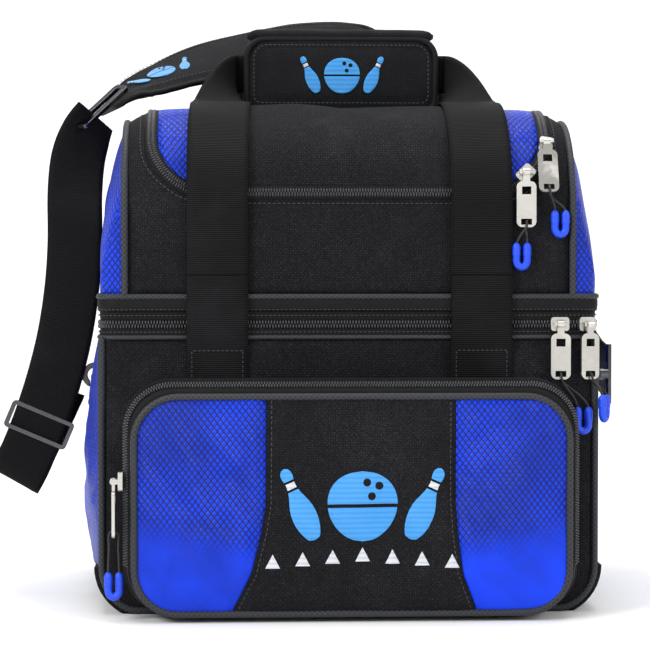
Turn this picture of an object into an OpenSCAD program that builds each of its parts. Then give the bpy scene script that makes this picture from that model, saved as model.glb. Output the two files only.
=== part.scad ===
// Single bowling ball bag: a ball compartment below, a shoe compartment that
// hinges back on it, a front pocket, two webbing handles with a padded wrap,
// and a padded shoulder strap. Front faces -Y, the base rests on z = 0.

/* [Ball compartment] */
// Width of the bag across the front
body_w = 325; // [290:1:400]
// Depth of the bag from front panel to back panel
body_d = 236; // [210:1:290]
// Height of the lower front panel
lower_h = 180; // [165:1:220]
// Thickness of the padded panels
wall = 6; // [4:0.5:8]
// Radius of the bottom corners
corner_r = 30; // [22:1:36]
// How far the piping stands proud
piping_h = 3; // [2:0.5:4]
// Rounding of the upright edges in plan
edge_r = 7; // [5:1:9]
// Thickness of the board that stiffens the base
board_t = 5; // [3:0.5:8]
// Outer diameter of the foam ring that holds the ball
cup_d = 190; // [150:1:196]
// Hole through the foam ring
cup_hole_d = 110; // [80:1:130]
// Height of the foam ring
cup_h = 28; // [18:1:40]

/* [Main zip] */
// Height of each half of the zip tape
tape_h = 8.7; // [7:0.1:12]
// Gap between the two halves of a zip
zip_gap = 0.6; // [0.4:0.1:1]
// Height of the binding between zip and shoe compartment
binding_h = 10; // [8:1:14]
// Corner radius of the zip in plan
zip_corner_r = 12; // [8:1:16]
// Thickness of the tapes
tape_t = 4; // [3:0.5:6]

/* [Shoe compartment] */
// Height of the shoe compartment panels
shoe_h = 124; // [110:1:150]
// Radius of the top front edge
front_edge_r = 60; // [50:1:70]
// Radius of the top back edge
back_edge_r = 30; // [20:1:40]
// Radius of the top side edges
side_edge_r = 45; // [30:1:50]
// Width of the front, top and back strip between the side seams
strip_w = 292; // [282:1:300]
// Width of the opening flap
flap_w = 250; // [230:1:254]
// Height from the panel's lower edge up to the flap
flap_rise = 71; // [64:1:80]
// Distance from the flap's hinge to the back of the bag
flap_back = 58; // [45:1:75]
// Width of the black middle of the flap
flap_middle_w = 186; // [150:1:200]
// Width of each tape of the flap and pocket zips
side_tape_w = 4; // [3:0.5:6]

/* [Front pocket] */
// Width of the pocket
pocket_w = 292; // [260:1:300]
// Height of the pocket
pocket_h = 150; // [130:1:152]
// Depth of the pocket from the front panel
pocket_d = 38; // [28:1:50]
// Radius of the pocket corners
pocket_r = 30; // [22:1:40]
// Width of the black middle of the pocket
pocket_middle_w = 108; // [90:1:120]
// Thickness of the pocket walls
pocket_wall = 4; // [3:0.5:5]

/* [Handles] */
// Width of the handle webbing
strap_w = 40; // [30:1:42]
// Thickness of the handle webbing
strap_t = 3; // [2:0.5:3.5]
// Distance between the middles of the two straps
strap_span = 172; // [150:1:186]
// Length of the padded wrap
grip_l = 134; // [110:1:136]
// Height of the padded wrap
grip_h = 56; // [50:1:62]
// Thickness of the padded wrap
grip_t = 26; // [24:1:32]

/* [Shoulder strap] */
// Width of the shoulder webbing
web_w = 38; // [30:1:40]
// Thickness of the shoulder webbing
web_t = 2.4; // [2:0.2:3]
// Width of the shoulder pad
pad_w = 60; // [50:1:64]
// Thickness of the shoulder pad
pad_t = 12; // [8:1:14]
// Wire diameter of the rings
ring_wire = 4; // [3:0.5:5]

/* [Zip sliders] */
// Length of a slider
slider_l = 12; // [10:1:14]
// Width of a slider
slider_w = 9; // [8:0.5:10]
// Length of a metal pull
pull_l = 36; // [30:1:40]
// Width of a metal pull
pull_w = 13; // [10:1:14]
// Thickness of a metal pull
pull_t = 2; // [1.5:0.5:3]
// Length of a rubber end
end_l = 16; // [14:1:20]
// Diameter of the pull cords
cord_d = 1.6; // [1.2:0.1:1.6]

/* [Hidden] */
$fn = 64;
eps = 0.01;
far = 400;
gap = 0.3;

half_w = body_w / 2;
half_d = body_d / 2;

// Heights up the bag
split_z = lower_h + tape_h + zip_gap / 2;
shoe_z = split_z + zip_gap / 2 + tape_h + binding_h;
top_z = shoe_z + shoe_h;
flap_z = shoe_z + flap_rise;
flap_y = half_d - flap_back;

// Pocket places
pocket_z = 4;
pocket_front = -half_d - pocket_d;
door_back = pocket_front + pocket_wall + side_tape_w;
pocket_mid_z = pocket_z + pocket_h / 2;

// Handle places: the straps stand clear of the binding
strap_y = half_d + piping_h + strap_t;
low_pivot_z = lower_h - 2;
high_pivot_z = top_z - front_edge_r - 8;
strap_r = strap_t / 2;
grip_z = top_z + 2 + grip_h / 2;
slot_w = 12.6;
bridge_t = 5;

// Height of the side rings
ring_z = 150;
ring_x = half_w + 9;
ring_r = 18;

// Slider: thickness of its body and how far out its crossbar stands
slider_t = 3;
bar_out = slider_t + 2.9;
bar_d = 2.4;

// Route of the shoulder pad and webbing: round points along the middle line,
// each with the direction of the strap's width. They're chosen beside a bag
// of this width and depth, and move out with its sides and back.
route_w = 325;
route_d = 236;
// The middle that stays put when the bag gets deeper
calm_y = 30;

function pushed(v, inner, outer, grow) =
    v + sign(v) * grow * min(1, max(0, (abs(v) - inner) / (outer - inner)));
function beside_bag(route) = [for (p = route) [
    pushed(p[0], 0, route_w / 2, half_w - route_w / 2),
    pushed(p[1], calm_y, route_d / 2, half_d - route_d / 2),
    p[2]]];

pad_route = beside_bag([[-162, 18, 336], [-144, 26, 350], [-118, 36, 362], [-90, 46, 372],
    [-60, 51, 378], [-28, 55, 383], [4, 60, 385], [36, 66, 383]]);
pad_side = [[0.2, 0.9, 0.3], [0.1, 0.9, 0.36], [0, 0.88, 0.4], [-0.1, 0.86, 0.5],
    [-0.1, 0.82, 0.56], [0, 0.78, 0.62], [0, 0.78, 0.62], [0, 0.8, 0.58]];
left_route = beside_bag([[-171, 8, 331], [-178, 4, 317], [-183, 0, 300], [-185, -3, 276], [-185, -4, 244],
    [-187, -6, 212], [-192, -9, 178], [-200, -10, 146], [-210, -8, 116], [-220, -5, 92],
    [-225, -3, 82], [-228, 1, 77], [-226, 6, 82], [-221, 9, 92], [-213, 11, 108], [-205, 12, 124],
    [-200, 12, 134], [-197, 11, 141]]);
left_side = [[0.7, 0.7, -0.1], [0.85, 0.45, -0.2], [0.95, 0.2, -0.2], [1, 0, -0.1], [1, 0, -0.05],
    [1, 0, -0.1], [0.98, 0, -0.2], [0.95, 0, -0.3], [0.92, 0, -0.4], [0.9, 0, -0.44],
    [0.88, 0, -0.47], [0.86, 0, -0.5], [0.86, 0, -0.5], [0.88, 0, -0.47], [0.86, 0.1, -0.48],
    [0.75, 0.2, -0.6], [0.55, 0.3, -0.76], [0.35, 0.3, -0.88]];
right_route = beside_bag([[42, 66, 381], [68, 78, 373], [92, 94, 358], [112, 114, 336], [124, 130, 306],
    [132, 138, 272], [142, 140, 240], [156, 136, 210], [174, 118, 186], [186, 94, 170],
    [190, 64, 160], [190, 34, 154], [190, 8, 151]]);
right_side = [[0, 0.8, 0.58], [-0.3, 0.85, 0.4], [-0.55, 0.8, 0.2], [-0.8, 0.55, 0],
    [-0.95, 0.25, -0.1], [-1, 0, -0.15], [-1, 0.05, -0.3], [-0.85, 0.3, -0.5],
    [-0.55, 0.5, -0.7], [-0.2, 0.45, -0.9], [0, 0.3, -0.95], [0, 0.2, -1], [0, 0.1, -1]];

// Pull cords: each loop runs from one leg of the rubber end up through the
// pull's lower slot and back to the other leg, measured from the crossbar
main_loop = [[11.5, 1, -56], [11.3, 0.8, -54], [9.8, 0, -50], [7, -1.2, -45.6], [3.6, -2.4, -41.4],
    [1.2, -3.1, -38], [0.2, -3.2, -35], [0, -2.2, -32.7], [0, 0, -31.8], [0, 2.2, -32.7],
    [0.4, 3.2, -35], [2.6, 3.1, -38.4], [7, 2.4, -42], [12, 1.7, -46], [16.6, 1.2, -50.6],
    [18.4, 1, -54], [18.5, 1, -56]];
corner_loop = [[5.3, -7.2, -48], [5.2, -7, -46], [4.4, -6.2, -43], [3, -5, -40], [1.2, -3.8, -37.4],
    [0.2, -3.2, -35], [0, -2.2, -32.7], [0, 0, -31.8], [0, 2.2, -32.7], [0.6, 3, -35],
    [2.6, 1.8, -37.4], [5.4, 0, -40], [8.4, -1.8, -42.6], [10.6, -2.8, -45.6], [10.7, -2.8, -48]];
flap_loop = [[-6.5, 0, -48], [-6.3, -0.2, -46.4], [-5, -1.4, -43], [-3, -2.6, -39.6],
    [-1, -3.2, -37], [-0.1, -3.2, -35], [0, -2.2, -32.7], [0, 0, -31.8], [0, 2.2, -32.7],
    [0, 3, -35], [0.2, 2.8, -38], [0.6, 2, -41.4], [0.6, 0.8, -44.8], [0.5, 0, -48]];
side_flap_loop = [[4.5, -8, -47], [4.5, -8.6, -45], [3.6, -10.6, -41.6], [2, -13.2, -38],
    [0.6, -15.4, -34.6], [0.1, -16.1, -31.6], [0, -14.4, -29.5], [0, -11.9, -29.5],
    [0, -10.2, -31.2], [0.4, -10, -33.8], [2.4, -9.6, -36.8], [5.4, -9, -39.4],
    [8.8, -8.5, -42], [11.2, -8.1, -44.8], [11.5, -8, -47]];
pocket_loop = [[0, -3.5, -60], [0, -3.5, -56], [0, -3.3, -50], [0, -3, -44], [0, -3.1, -39],
    [0, -3.2, -35], [0, -2.2, -32.7], [0, 0, -31.8], [0, 2.2, -32.7], [0, 3.2, -35],
    [0, 3.1, -39], [0, 3, -44], [0, 3.3, -50], [0, 3.5, -56], [0, 3.5, -60]];

black = "#17181b";
charcoal = "#34363a";
blue = "#1d4fae";
bright_blue = "#2a7fe0";
nickel = "#b9b7b0";
gunmetal = "#4a4b50";

// ---------- outlines ----------

// Outline with rounded lower corners, standing on y = 0
module bottom_rounded(w, h, r) {
    translate([-w / 2, r]) square([w, h - r]);
    translate([-w / 2 + r, 0]) square([w - 2 * r, r + eps]);
    for (side = [-1, 1]) translate([side * (w / 2 - r), r]) circle(r);
}

// Rectangle with four rounded corners, centred
module rounded(w, h, r) {
    square([w - 2 * r, h], center = true);
    square([w, h - 2 * r], center = true);
    for (sx = [-1, 1], sy = [-1, 1]) translate([sx * (w / 2 - r), sy * (h / 2 - r)]) circle(r);
}

// Outline drawn in X and Z, extruded along Y from y0 to y1
module along_y(y0, y1) {
    translate([0, y1, 0]) rotate([90, 0, 0]) linear_extrude(y1 - y0) children();
}

// Outline drawn in Y and Z, extruded along X from x0 to x1
module along_x(x0, x1) {
    translate([x0, 0, 0]) rotate([90, 0, 90]) linear_extrude(x1 - x0) children();
}

// ---------- swept straps and cords ----------

function unit(v) = v / norm(v);
function heading(p, i) = unit(p[min(i + 1, len(p) - 1)] - p[max(i - 1, 0)]);

// Flat strap along a route, with its width along the given sides; the width
// is one number or a list with one for each point
module ribbon(route, sides, width, thick) {
    last = len(route) - 1;
    corners = [for (i = [0:last])
        let (t = heading(route, i), n = unit(cross(t, sides[i])), s = cross(n, t),
            w = is_list(width) ? width[i] : width)
        for (c = [[-1, -1], [1, -1], [1, 1], [-1, 1]])
            route[i] + s * c[0] * w / 2 + n * c[1] * thick / 2];
    walls = [for (i = [0:last - 1], k = [0:3])
        let (a = 4 * i + k, b = 4 * i + (k + 1) % 4) each [[a, b, b + 4], [a, b + 4, a + 4]]];
    ends = [[0, 3, 2], [0, 2, 1], [4 * last, 4 * last + 1, 4 * last + 2],
        [4 * last, 4 * last + 2, 4 * last + 3]];
    polyhedron(corners, [for (f = concat(walls, ends)) [f[2], f[1], f[0]]]);
}

// Round cord along a route
module tube(route, d, sides) {
    last = len(route) - 1;
    rings = [for (i = [0:last])
        let (t = heading(route, i), n = unit(cross(t, [0, 1, 0.01])), b = cross(t, n))
        for (k = [0:sides - 1])
            route[i] + (n * cos(360 * k / sides) + b * sin(360 * k / sides)) * d / 2];
    walls = [for (i = [0:last - 1], k = [0:sides - 1])
        let (a = sides * i + k, b = sides * i + (k + 1) % sides)
        each [[a, b, b + sides], [a, b + sides, a + sides]]];
    near_end = [for (k = [sides - 1:-1:0]) k];
    far_end = [for (k = [0:sides - 1]) sides * last + k];
    polyhedron(rings, [for (f = concat(walls, [near_end, far_end])) [for (j = [len(f) - 1:-1:0]) f[j]]]);
}

// ---------- ball compartment ----------

module lower_outline(grow = 0, lift = 0) {
    translate([0, lift]) bottom_rounded(body_w + 2 * grow, lower_h - lift, corner_r + grow);
}

// Rounds the bag's upright edges, grown by the piping where it is named
module round_edges(grow_x = 0, grow_y = 0, r = edge_r) {
    intersection() {
        children();
        translate([0, 0, -1]) linear_extrude(far) rounded(body_w + 2 * grow_x, body_d + 2 * grow_y, r);
    }
}

module lower_front_panel() {
    color(black) round_edges() along_y(-half_d, -half_d + wall) lower_outline();
}

// The back panel runs on up to the fold that the lid turns about
module lower_back_panel() {
    color(black) round_edges() along_y(half_d - wall, half_d) {
        lower_outline();
        translate([-half_w, lower_h - eps]) square([body_w, split_z - zip_gap / 2 - lower_h + eps]);
    }
}

module lower_gusset() {
    along_y(-half_d + wall, half_d - wall) difference() {
        lower_outline();
        translate([0, wall]) bottom_rounded(body_w - 2 * wall, lower_h, corner_r - wall);
    }
}

module lower_side_panels() {
    color(blue) for (x = [-half_w, half_w - wall]) translate([x, -half_d + wall, corner_r])
        cube([wall, body_d - 2 * wall, lower_h - corner_r]);
}

module lower_bottom_panel() {
    color(black) intersection() {
        lower_gusset();
        translate([-far, -far, -1]) cube([2 * far, 2 * far, corner_r + 1]);
    }
}

module base_board() {
    board_w = body_w - 2 * corner_r - 4;
    board_d = body_d - 2 * wall - 6;
    color(charcoal) translate([0, 0, wall]) linear_extrude(board_t) rounded(board_w, board_d, 12);
}

module ball_cup() {
    color(charcoal) translate([0, 0, wall + board_t]) difference() {
        cylinder(d = cup_d, h = cup_h, $fn = 96);
        translate([0, 0, -1]) cylinder(d = cup_hole_d, h = cup_h + 2, $fn = 96);
    }
}

// Piping round the edge of the front and back panels
module lower_piping() {
    lip = 2;
    color(charcoal) round_edges(piping_h, lip, edge_r + piping_h) for (turn = [0, 180]) rotate(turn) {
        along_y(-half_d, -half_d + wall) difference() {
            lower_outline(piping_h);
            lower_outline();
            translate([-far, lower_h - 4]) square([2 * far, far]);
        }
        along_y(-half_d - lip, -half_d) difference() {
            lower_outline(piping_h);
            translate([0, piping_h]) bottom_rounded(body_w - 2 * piping_h, lower_h, corner_r - piping_h);
            translate([-far, lower_h - 4]) square([2 * far, far]);
        }
    }
}

// One course of the main zip: open at the back, where the bag hinges
module zip_course(z, h, grow) {
    r = zip_corner_r;
    w = body_w + 2 * grow;
    d = body_d + 2 * grow;
    translate([0, 0, z]) linear_extrude(h) difference() {
        rounded(w, d, r);
        rounded(w - 2 * (tape_t + grow), d - 2 * (tape_t + grow), r - tape_t);
        translate([-far, half_d - wall]) square([2 * far, far]);
    }
}

module main_zip_lower_tape() {
    color(black) zip_course(lower_h, split_z - zip_gap / 2 - lower_h, 0);
}

// Sewn ends of the handle straps and the tabs that hold the side rings
module sewn_webbing() {
    tab_l = 26;
    anchor_z = pocket_z + pocket_h + 4;
    color(black) {
        for (sx = [-1, 1], sy = [-1, 1])
            translate([sx * strap_span / 2 - strap_w / 2, sy > 0 ? half_d : -strap_y, anchor_z])
                cube([strap_w, strap_y - half_d, low_pivot_z - strap_r - gap - anchor_z]);
        for (sx = [-1, 1]) translate([sx * (half_w + 1.5), 0, ring_z - ring_r - 4 - tab_l])
            translate([-1.5, -web_w / 2, 0]) cube([3, web_w, tab_l]);
        for (sx = [-1, 1]) translate([sx * ring_x, 0, ring_z - ring_r]) rotate([90, 0, 0]) difference() {
            union() {
                cylinder(d = ring_wire + 6.6, h = web_w - 8, center = true);
                translate([sx > 0 ? -9 : 0, -4, 0]) translate([0, 0, -(web_w - 8) / 2])
                    cube([9, 4, web_w - 8]);
            }
            cylinder(d = ring_wire + 0.6, h = web_w, center = true);
        }
    }
}

// Ring with a straight bar below, carried by its tab
module side_ring() {
    bar = web_w - 4;
    rotate([90, 0, 0]) cylinder(d = ring_wire, h = bar, center = true);
    for (sy = [-1, 1]) translate([0, sy * bar / 2, 0]) {
        sphere(d = ring_wire);
        cylinder(d = ring_wire, h = ring_r);
        translate([0, 0, ring_r]) sphere(d = ring_wire);
    }
    translate([0, 0, ring_r]) rotate([90, 0, 0]) cylinder(d = ring_wire, h = bar, center = true);
}

module side_rings() {
    color(gunmetal) for (sx = [-1, 1]) translate([sx * ring_x, 0, ring_z - ring_r]) side_ring();
}

// ---------- front pocket ----------

module pocket_outline(inset = 0) {
    translate([0, pocket_mid_z]) rounded(pocket_w - 2 * inset, pocket_h - 2 * inset, pocket_r - inset);
}

module pocket_gusset() {
    color(black) along_y(door_back + side_tape_w + gap, -half_d) difference() {
        pocket_outline();
        pocket_outline(pocket_wall);
    }
}

module pocket_zip_half(y0, y1) {
    along_y(y0, y1) difference() {
        pocket_outline();
        pocket_outline(pocket_wall);
        translate([-far, -far]) square([2 * far, far + pocket_z + pocket_r]);
    }
}

module pocket_zip_body_tape() {
    color(black) pocket_zip_half(door_back + gap, door_back + side_tape_w + gap);
}

module pocket_zip_door_tape() {
    color(black) pocket_zip_half(pocket_front + pocket_wall, door_back - gap);
}

module pocket_middle_outline(grow = 0) {
    half = pocket_middle_w / 2 + grow;
    flare = 22;
    polygon([[-half - flare, -1], [half + flare, -1], [half, pocket_mid_z - 3], [half, far],
        [-half, far], [-half, pocket_mid_z - 3]]);
}

module pocket_middle() {
    color(black) along_y(pocket_front, pocket_front + pocket_wall) intersection() {
        pocket_outline();
        pocket_middle_outline();
    }
}

module pocket_sides() {
    color(blue) along_y(pocket_front, pocket_front + pocket_wall) difference() {
        pocket_outline();
        pocket_middle_outline();
    }
}

module pocket_piping() {
    color(charcoal) along_y(pocket_front - 2, pocket_front) difference() {
        pocket_outline();
        pocket_outline(6);
    }
}

// ---------- shoe compartment ----------

module side_view(inset) {
    w = body_d - 2 * inset;
    fr = front_edge_r - inset;
    br = back_edge_r - inset;
    y0 = -w / 2;
    translate([y0, 0]) square([w, top_z - inset - max(fr, br)]);
    translate([y0 + fr, 0]) square([w - fr - br, top_z - inset]);
    translate([w / 2 - br - eps, 0]) square([br + eps, top_z - inset - br]);
    translate([y0 + fr, top_z - inset - fr]) circle(fr, $fn = 96);
    translate([w / 2 - br, top_z - inset - br]) circle(br, $fn = 96);
}

module front_view(inset) {
    w = body_w - 2 * inset;
    r = side_edge_r - inset;
    translate([-w / 2, 0]) square([w, top_z - inset - r]);
    translate([-w / 2 + r, 0]) square([w - 2 * r, top_z - inset]);
    for (side = [-1, 1]) translate([side * (w / 2 - r), top_z - inset - r]) circle(r, $fn = 96);
}

module shoe_solid(inset) {
    intersection() {
        along_x(-far, far) side_view(inset);
        along_y(-far, far) front_view(inset);
        translate([-far, -far, inset > 0 ? 0 : shoe_z]) cube([2 * far, 2 * far, far]);
    }
}

module shoe_shell() {
    difference() {
        shoe_solid(0);
        shoe_solid(wall);
    }
}

// Region of the flap, seen from the front, up to the hinge line
module flap_region(grow, back) {
    along_y(-far, flap_y + back) translate([0, flap_z - grow])
        bottom_rounded(flap_w + 2 * grow, far, 34 + grow);
}

module strip_slab(half) {
    translate([-half, -far, 0]) cube([2 * half, 2 * far, far]);
}

module shoe_side_panels() {
    color(blue) difference() {
        shoe_shell();
        strip_slab(strip_w / 2);
    }
}

// Width of the zip round the flap, and how far the frame runs behind the hinge
tape_out = 2 * side_tape_w + zip_gap;
frame_back = 20;

module shoe_front_panel() {
    color(black) translate([-strip_w / 2, -half_d, shoe_z])
        cube([strip_w, wall, flap_z - tape_out - shoe_z]);
}

module shoe_back_panel() {
    color(black) {
        intersection() {
            shoe_shell();
            strip_slab(strip_w / 2);
            translate([-far, flap_y + frame_back, 0]) cube([2 * far, far, far]);
        }
        translate([-half_w, half_d - wall, split_z + zip_gap / 2])
            cube([body_w, wall, shoe_z - split_z - zip_gap / 2]);
    }
}

// What is left of the strip round the flap
module shoe_top_frame() {
    color(black) difference() {
        intersection() {
            shoe_shell();
            strip_slab(strip_w / 2);
            translate([-far, -far, flap_z - tape_out]) cube([2 * far, far + flap_y + frame_back, far]);
        }
        flap_region(tape_out, 0);
    }
}

module shoe_zip_body_tape() {
    color(black) intersection() {
        shoe_shell();
        difference() {
            flap_region(tape_out, 0);
            flap_region(side_tape_w + zip_gap, 1);
        }
    }
}

module flap_zip_tape() {
    color(black) intersection() {
        shoe_shell();
        difference() {
            flap_region(side_tape_w, -gap);
            flap_region(0, 1);
        }
    }
}

module flap_part() {
    intersection() {
        shoe_shell();
        flap_region(0, -gap);
    }
}

module flap_middle() {
    color(black) intersection() {
        flap_part();
        strip_slab(flap_middle_w / 2);
    }
}

module flap_sides() {
    color(blue) difference() {
        flap_part();
        strip_slab(flap_middle_w / 2);
    }
}

// Piping along the two side seams, standing proud of the panels
module shoe_piping() {
    color(charcoal) difference() {
        intersection() {
            shoe_solid(-piping_h);
            union() {
                for (side = [-1, 1]) translate([side * strip_w / 2 - 2.5, -far, shoe_z + 1])
                    cube([5, 2 * far, far]);
            }
        }
        shoe_solid(0);
    }
}

// Flat divider between the shoes and the ball
module shoe_floor() {
    color(black) translate([0, 0, split_z + 2]) linear_extrude(wall) difference() {
        rounded(body_w - 2 * tape_t, body_d - 2 * tape_t, zip_corner_r - tape_t);
        translate([-far, half_d - wall]) square([2 * far, far]);
    }
}

// Upper half of the main zip with the binding above it
module main_zip_upper_tape() {
    binding_z = shoe_z - binding_h;
    color(black) {
        zip_course(split_z + zip_gap / 2, tape_h, 0);
        zip_course(binding_z, binding_h, 0.4);
    }
}

// ---------- handles ----------

module strap_side(front) {
    mirror([0, front ? 0 : 1, 0]) children();
}

// Straight part of a handle, from its sewn end up to the fold
module low_straps() {
    y = -strap_y + strap_r;
    for (sx = [-1, 1]) {
        along_x(sx * strap_span / 2 - strap_w / 2, sx * strap_span / 2 + strap_w / 2) {
            translate([y, low_pivot_z]) circle(strap_r);
            translate([y - strap_r, low_pivot_z])
                square([strap_t, high_pivot_z - strap_r - gap - low_pivot_z]);
        }
    }
}

// Part of a handle that goes over the top edge, twists and runs through the
// padded wrap at height mid_z, where it is inner_w wide
module high_straps(bend_r, mid_z, inner_w) {
    x = -strap_span / 2;
    y = -strap_y + strap_r;
    arc_y = bend_r - half_d;
    arc_z = top_z - bend_r;
    arc_r = arc_y - y;
    slot_y = -slot_w / 2 + strap_t - 0.5;
    steps = [0.2, 0.4, 0.6, 0.8, 1];
    rise = concat([[x, y, high_pivot_z], [x, y, arc_z]],
        [for (a = [15:15:90]) [x, arc_y - arc_r * cos(a), arc_z + arc_r * sin(a)]]);
    twist = [for (u = steps) [x + 14 * u * u, arc_y + (slot_y - arc_y) * u,
        arc_z + arc_r + (mid_z - arc_z - arc_r) * u * u * (3 - 2 * u)]];
    half = concat(rise, twist, [[1 - grip_l / 2, slot_y, mid_z]]);
    turns = concat([for (p = rise) 0], [for (u = steps) 90 * u * u * (3 - 2 * u)], [90]);
    wides = concat([for (p = rise) strap_w],
        [for (u = steps) inner_w + (strap_w - inner_w) * pow(1 - u, 2)], [inner_w]);
    last = len(half) - 1;
    back = [for (i = [last:-1:0]) i];
    ribbon(concat(half, [for (i = back) [-half[i][0], half[i][1], half[i][2]]]),
        concat([for (a = turns) [cos(a), 0, -sin(a)]], [for (i = back) [-cos(turns[i]), 0, -sin(turns[i])]]),
        concat(wides, [for (i = back) wides[i]]), strap_t);
}

module front_strap_low() {
    color(black) strap_side(true) low_straps();
}

module back_strap_low() {
    color(black) strap_side(false) low_straps();
}

module front_strap_high() {
    color(black) strap_side(true) high_straps(front_edge_r, grip_z - 2, 26);
}

module back_strap_high() {
    color(black) strap_side(false) high_straps(back_edge_r, top_z + 13, 14);
}

// Rear half of the padded wrap with the fold along its top
module grip_rear() {
    plate_t = (grip_t - slot_w) / 2;
    color(black) translate([-grip_l / 2, 0, grip_z - grip_h / 2]) {
        translate([0, grip_t / 2 - plate_t, 0]) cube([grip_l, plate_t, grip_h]);
        translate([0, -grip_t / 2, grip_h - bridge_t]) cube([grip_l, grip_t, bridge_t]);
    }
}

// Front half, which lifts about the fold
module grip_front() {
    plate_t = (grip_t - slot_w) / 2;
    color(black) translate([-grip_l / 2, -grip_t / 2, grip_z - grip_h / 2])
        cube([grip_l, plate_t, grip_h - bridge_t - gap]);
}

// ---------- shoulder strap ----------

module shoulder_pad() {
    color(black) ribbon(pad_route, pad_side, pad_w, pad_t);
}

module shoulder_webbing() {
    color(black) {
        ribbon(left_route, left_side, web_w, web_t);
        ribbon(right_route, right_side, web_w, web_t);
    }
}

// Rectangular frame standing on a strap, in its own frame
module buckle(inner_w, inner_h, wire, thick) {
    linear_extrude(thick, center = true) difference() {
        rounded(inner_w + 2 * wire, inner_h + 2 * wire, 3);
        square([inner_w, inner_h], center = true);
    }
}

// Loop that joins pad and webbing, and the slide on the hanging webbing
module strap_buckles() {
    color(gunmetal) {
        translate(left_route[0] + [4, 2, 7]) rotate([8, -38, 40]) buckle(web_w + 2, 5, 4, 3);
        translate(left_route[8]) rotate([90, 23, 0]) buckle(web_w + 2, 14, 3, 4);
    }
}

// Snap hook in its own frame: the eye round the ring's bar, the post along +X
module hook_body() {
    thick = 5;
    rotate([90, 0, 0]) translate([0, 0, -thick / 2]) linear_extrude(thick) difference() {
        union() {
            circle(hook_r);
            translate([hook_r - 2, -3.5]) square([hook_post - hook_r + 2, 7]);
        }
        circle(hook_eye_r);
        translate([-gate_l / 2 - gap, -hook_r - 1]) square([gate_l + 2 * gap, hook_r]);
    }
}

hook_r = 9;
hook_eye_r = 5.2;
hook_post = 12;
gate_l = 6.6;
gate_t = 3;
gate_pivot = [gate_l / 2 - gate_t / 2, -hook_eye_r - 1.9];

// Spring gate that closes the eye, turning about its rounded end
module hook_gate() {
    rotate([90, 0, 0]) linear_extrude(4, center = true) {
        translate(gate_pivot) circle(gate_t / 2);
        translate([-gate_l / 2, gate_pivot[1] - gate_t / 2]) square([gate_pivot[0] + gate_l / 2, gate_t]);
    }
}

// Swivel that turns on the hook's post and carries the webbing on its bar
module hook_swivel() {
    translate([hook_post + gap, 0, 0]) rotate([0, 90, 0]) cylinder(r = 4, h = 5.6);
    translate([hook_post + 6.5, 0, 0]) cylinder(d = ring_wire, h = web_w + 4, center = true);
}

module at_hook(side) {
    translate([side * ring_x, 0, ring_z]) mirror([side > 0 ? 0 : 1, 0, 0]) children();
}

module snap_hooks() {
    color(gunmetal) for (side = [-1, 1]) at_hook(side) hook_body();
}

module hook_swivels() {
    color(gunmetal) for (side = [-1, 1]) at_hook(side) hook_swivel();
}

module left_gate() {
    color(gunmetal) at_hook(-1) hook_gate();
}

module right_gate() {
    color(gunmetal) at_hook(1) hook_gate();
}

// ---------- zip sliders, pulls, cords and rubber ends ----------

// Slider facing -Y with its crossbar along X; roll turns its body to the zip
module slider(roll) {
    post_x = 3.6;
    color(nickel) {
        rotate([90, 0, 0]) rotate(roll) linear_extrude(slider_t) rounded(slider_l, slider_w, 2);
        for (side = [-1, 1]) translate([side * post_x - 1, -bar_out - 1.4, -1.5])
            cube([2, bar_out - slider_t + 1.4 + 1, 3]);
        translate([-post_x, -bar_out, 0]) rotate([0, 90, 0]) cylinder(d = bar_d, h = 2 * post_x);
    }
}

// Pull with its knuckle on the crossbar at the origin, hanging down
module pull() {
    neck_l = 6;
    knuckle_w = 4.6;
    color(nickel) difference() {
        union() {
            rotate([0, 90, 0]) cylinder(d = bar_d + 2.4, h = knuckle_w, center = true);
            rotate([90, 0, 0]) linear_extrude(pull_t, center = true) difference() {
                union() {
                    translate([-knuckle_w / 2, -neck_l - 1]) square([knuckle_w, neck_l + 1]);
                    translate([0, -(neck_l + pull_l) / 2]) rounded(pull_w, pull_l - neck_l, 4);
                }
                translate([0, -neck_l - 6]) square([pull_w - 7, 5], center = true);
                translate([0, -pull_l + 3.6]) square([pull_w - 6, 3.8], center = true);
            }
        }
        rotate([0, 90, 0]) cylinder(d = bar_d + 0.6, h = knuckle_w + 1, center = true);
    }
}

// Rubber end moulded on the two cord legs, hanging from z = 0
module rubber_end() {
    width = 11;
    slot_h = end_l - 9;
    rotate([90, 0, 0]) linear_extrude(4, center = true) difference() {
        translate([0, -end_l / 2]) rounded(width, end_l, 3);
        translate([0, -5 - slot_h / 2]) square([width - 6, slot_h], center = true);
    }
}

// Place of each slider on its zip: position, turn about Z and lean back
corner_angle = 20;
corner_out = zip_corner_r + 0.5;
front_arc = [-half_d + front_edge_r, top_z - front_edge_r];
flap_lean = 14;
side_flap_lean = 33;
flap_out = front_edge_r + 0.6;
main_at = [[half_w - 25, -half_d - 0.5, split_z], 0, 0];
corner_at = [[half_w - zip_corner_r + corner_out * sin(corner_angle),
    -half_d + zip_corner_r - corner_out * cos(corner_angle), split_z], corner_angle, 0];
flap_at = [[flap_w / 2 - 10, front_arc[0] - flap_out * cos(flap_lean),
    front_arc[1] + flap_out * sin(flap_lean)], 0, flap_lean];
side_flap_at = [[flap_w / 2 + side_tape_w + zip_gap / 2, front_arc[0] - flap_out * cos(side_flap_lean),
    front_arc[1] + flap_out * sin(side_flap_lean)], 0, side_flap_lean];
pocket_at = [[-pocket_w / 2 - 0.3, door_back, 90], -90, 0];

// How far the upper pull leans out to clear the front panel
side_flap_pull_lean = 22;

module on_zip(at) {
    translate(at[0]) rotate(at[1]) rotate([-at[2], 0, 0]) children();
}

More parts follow.
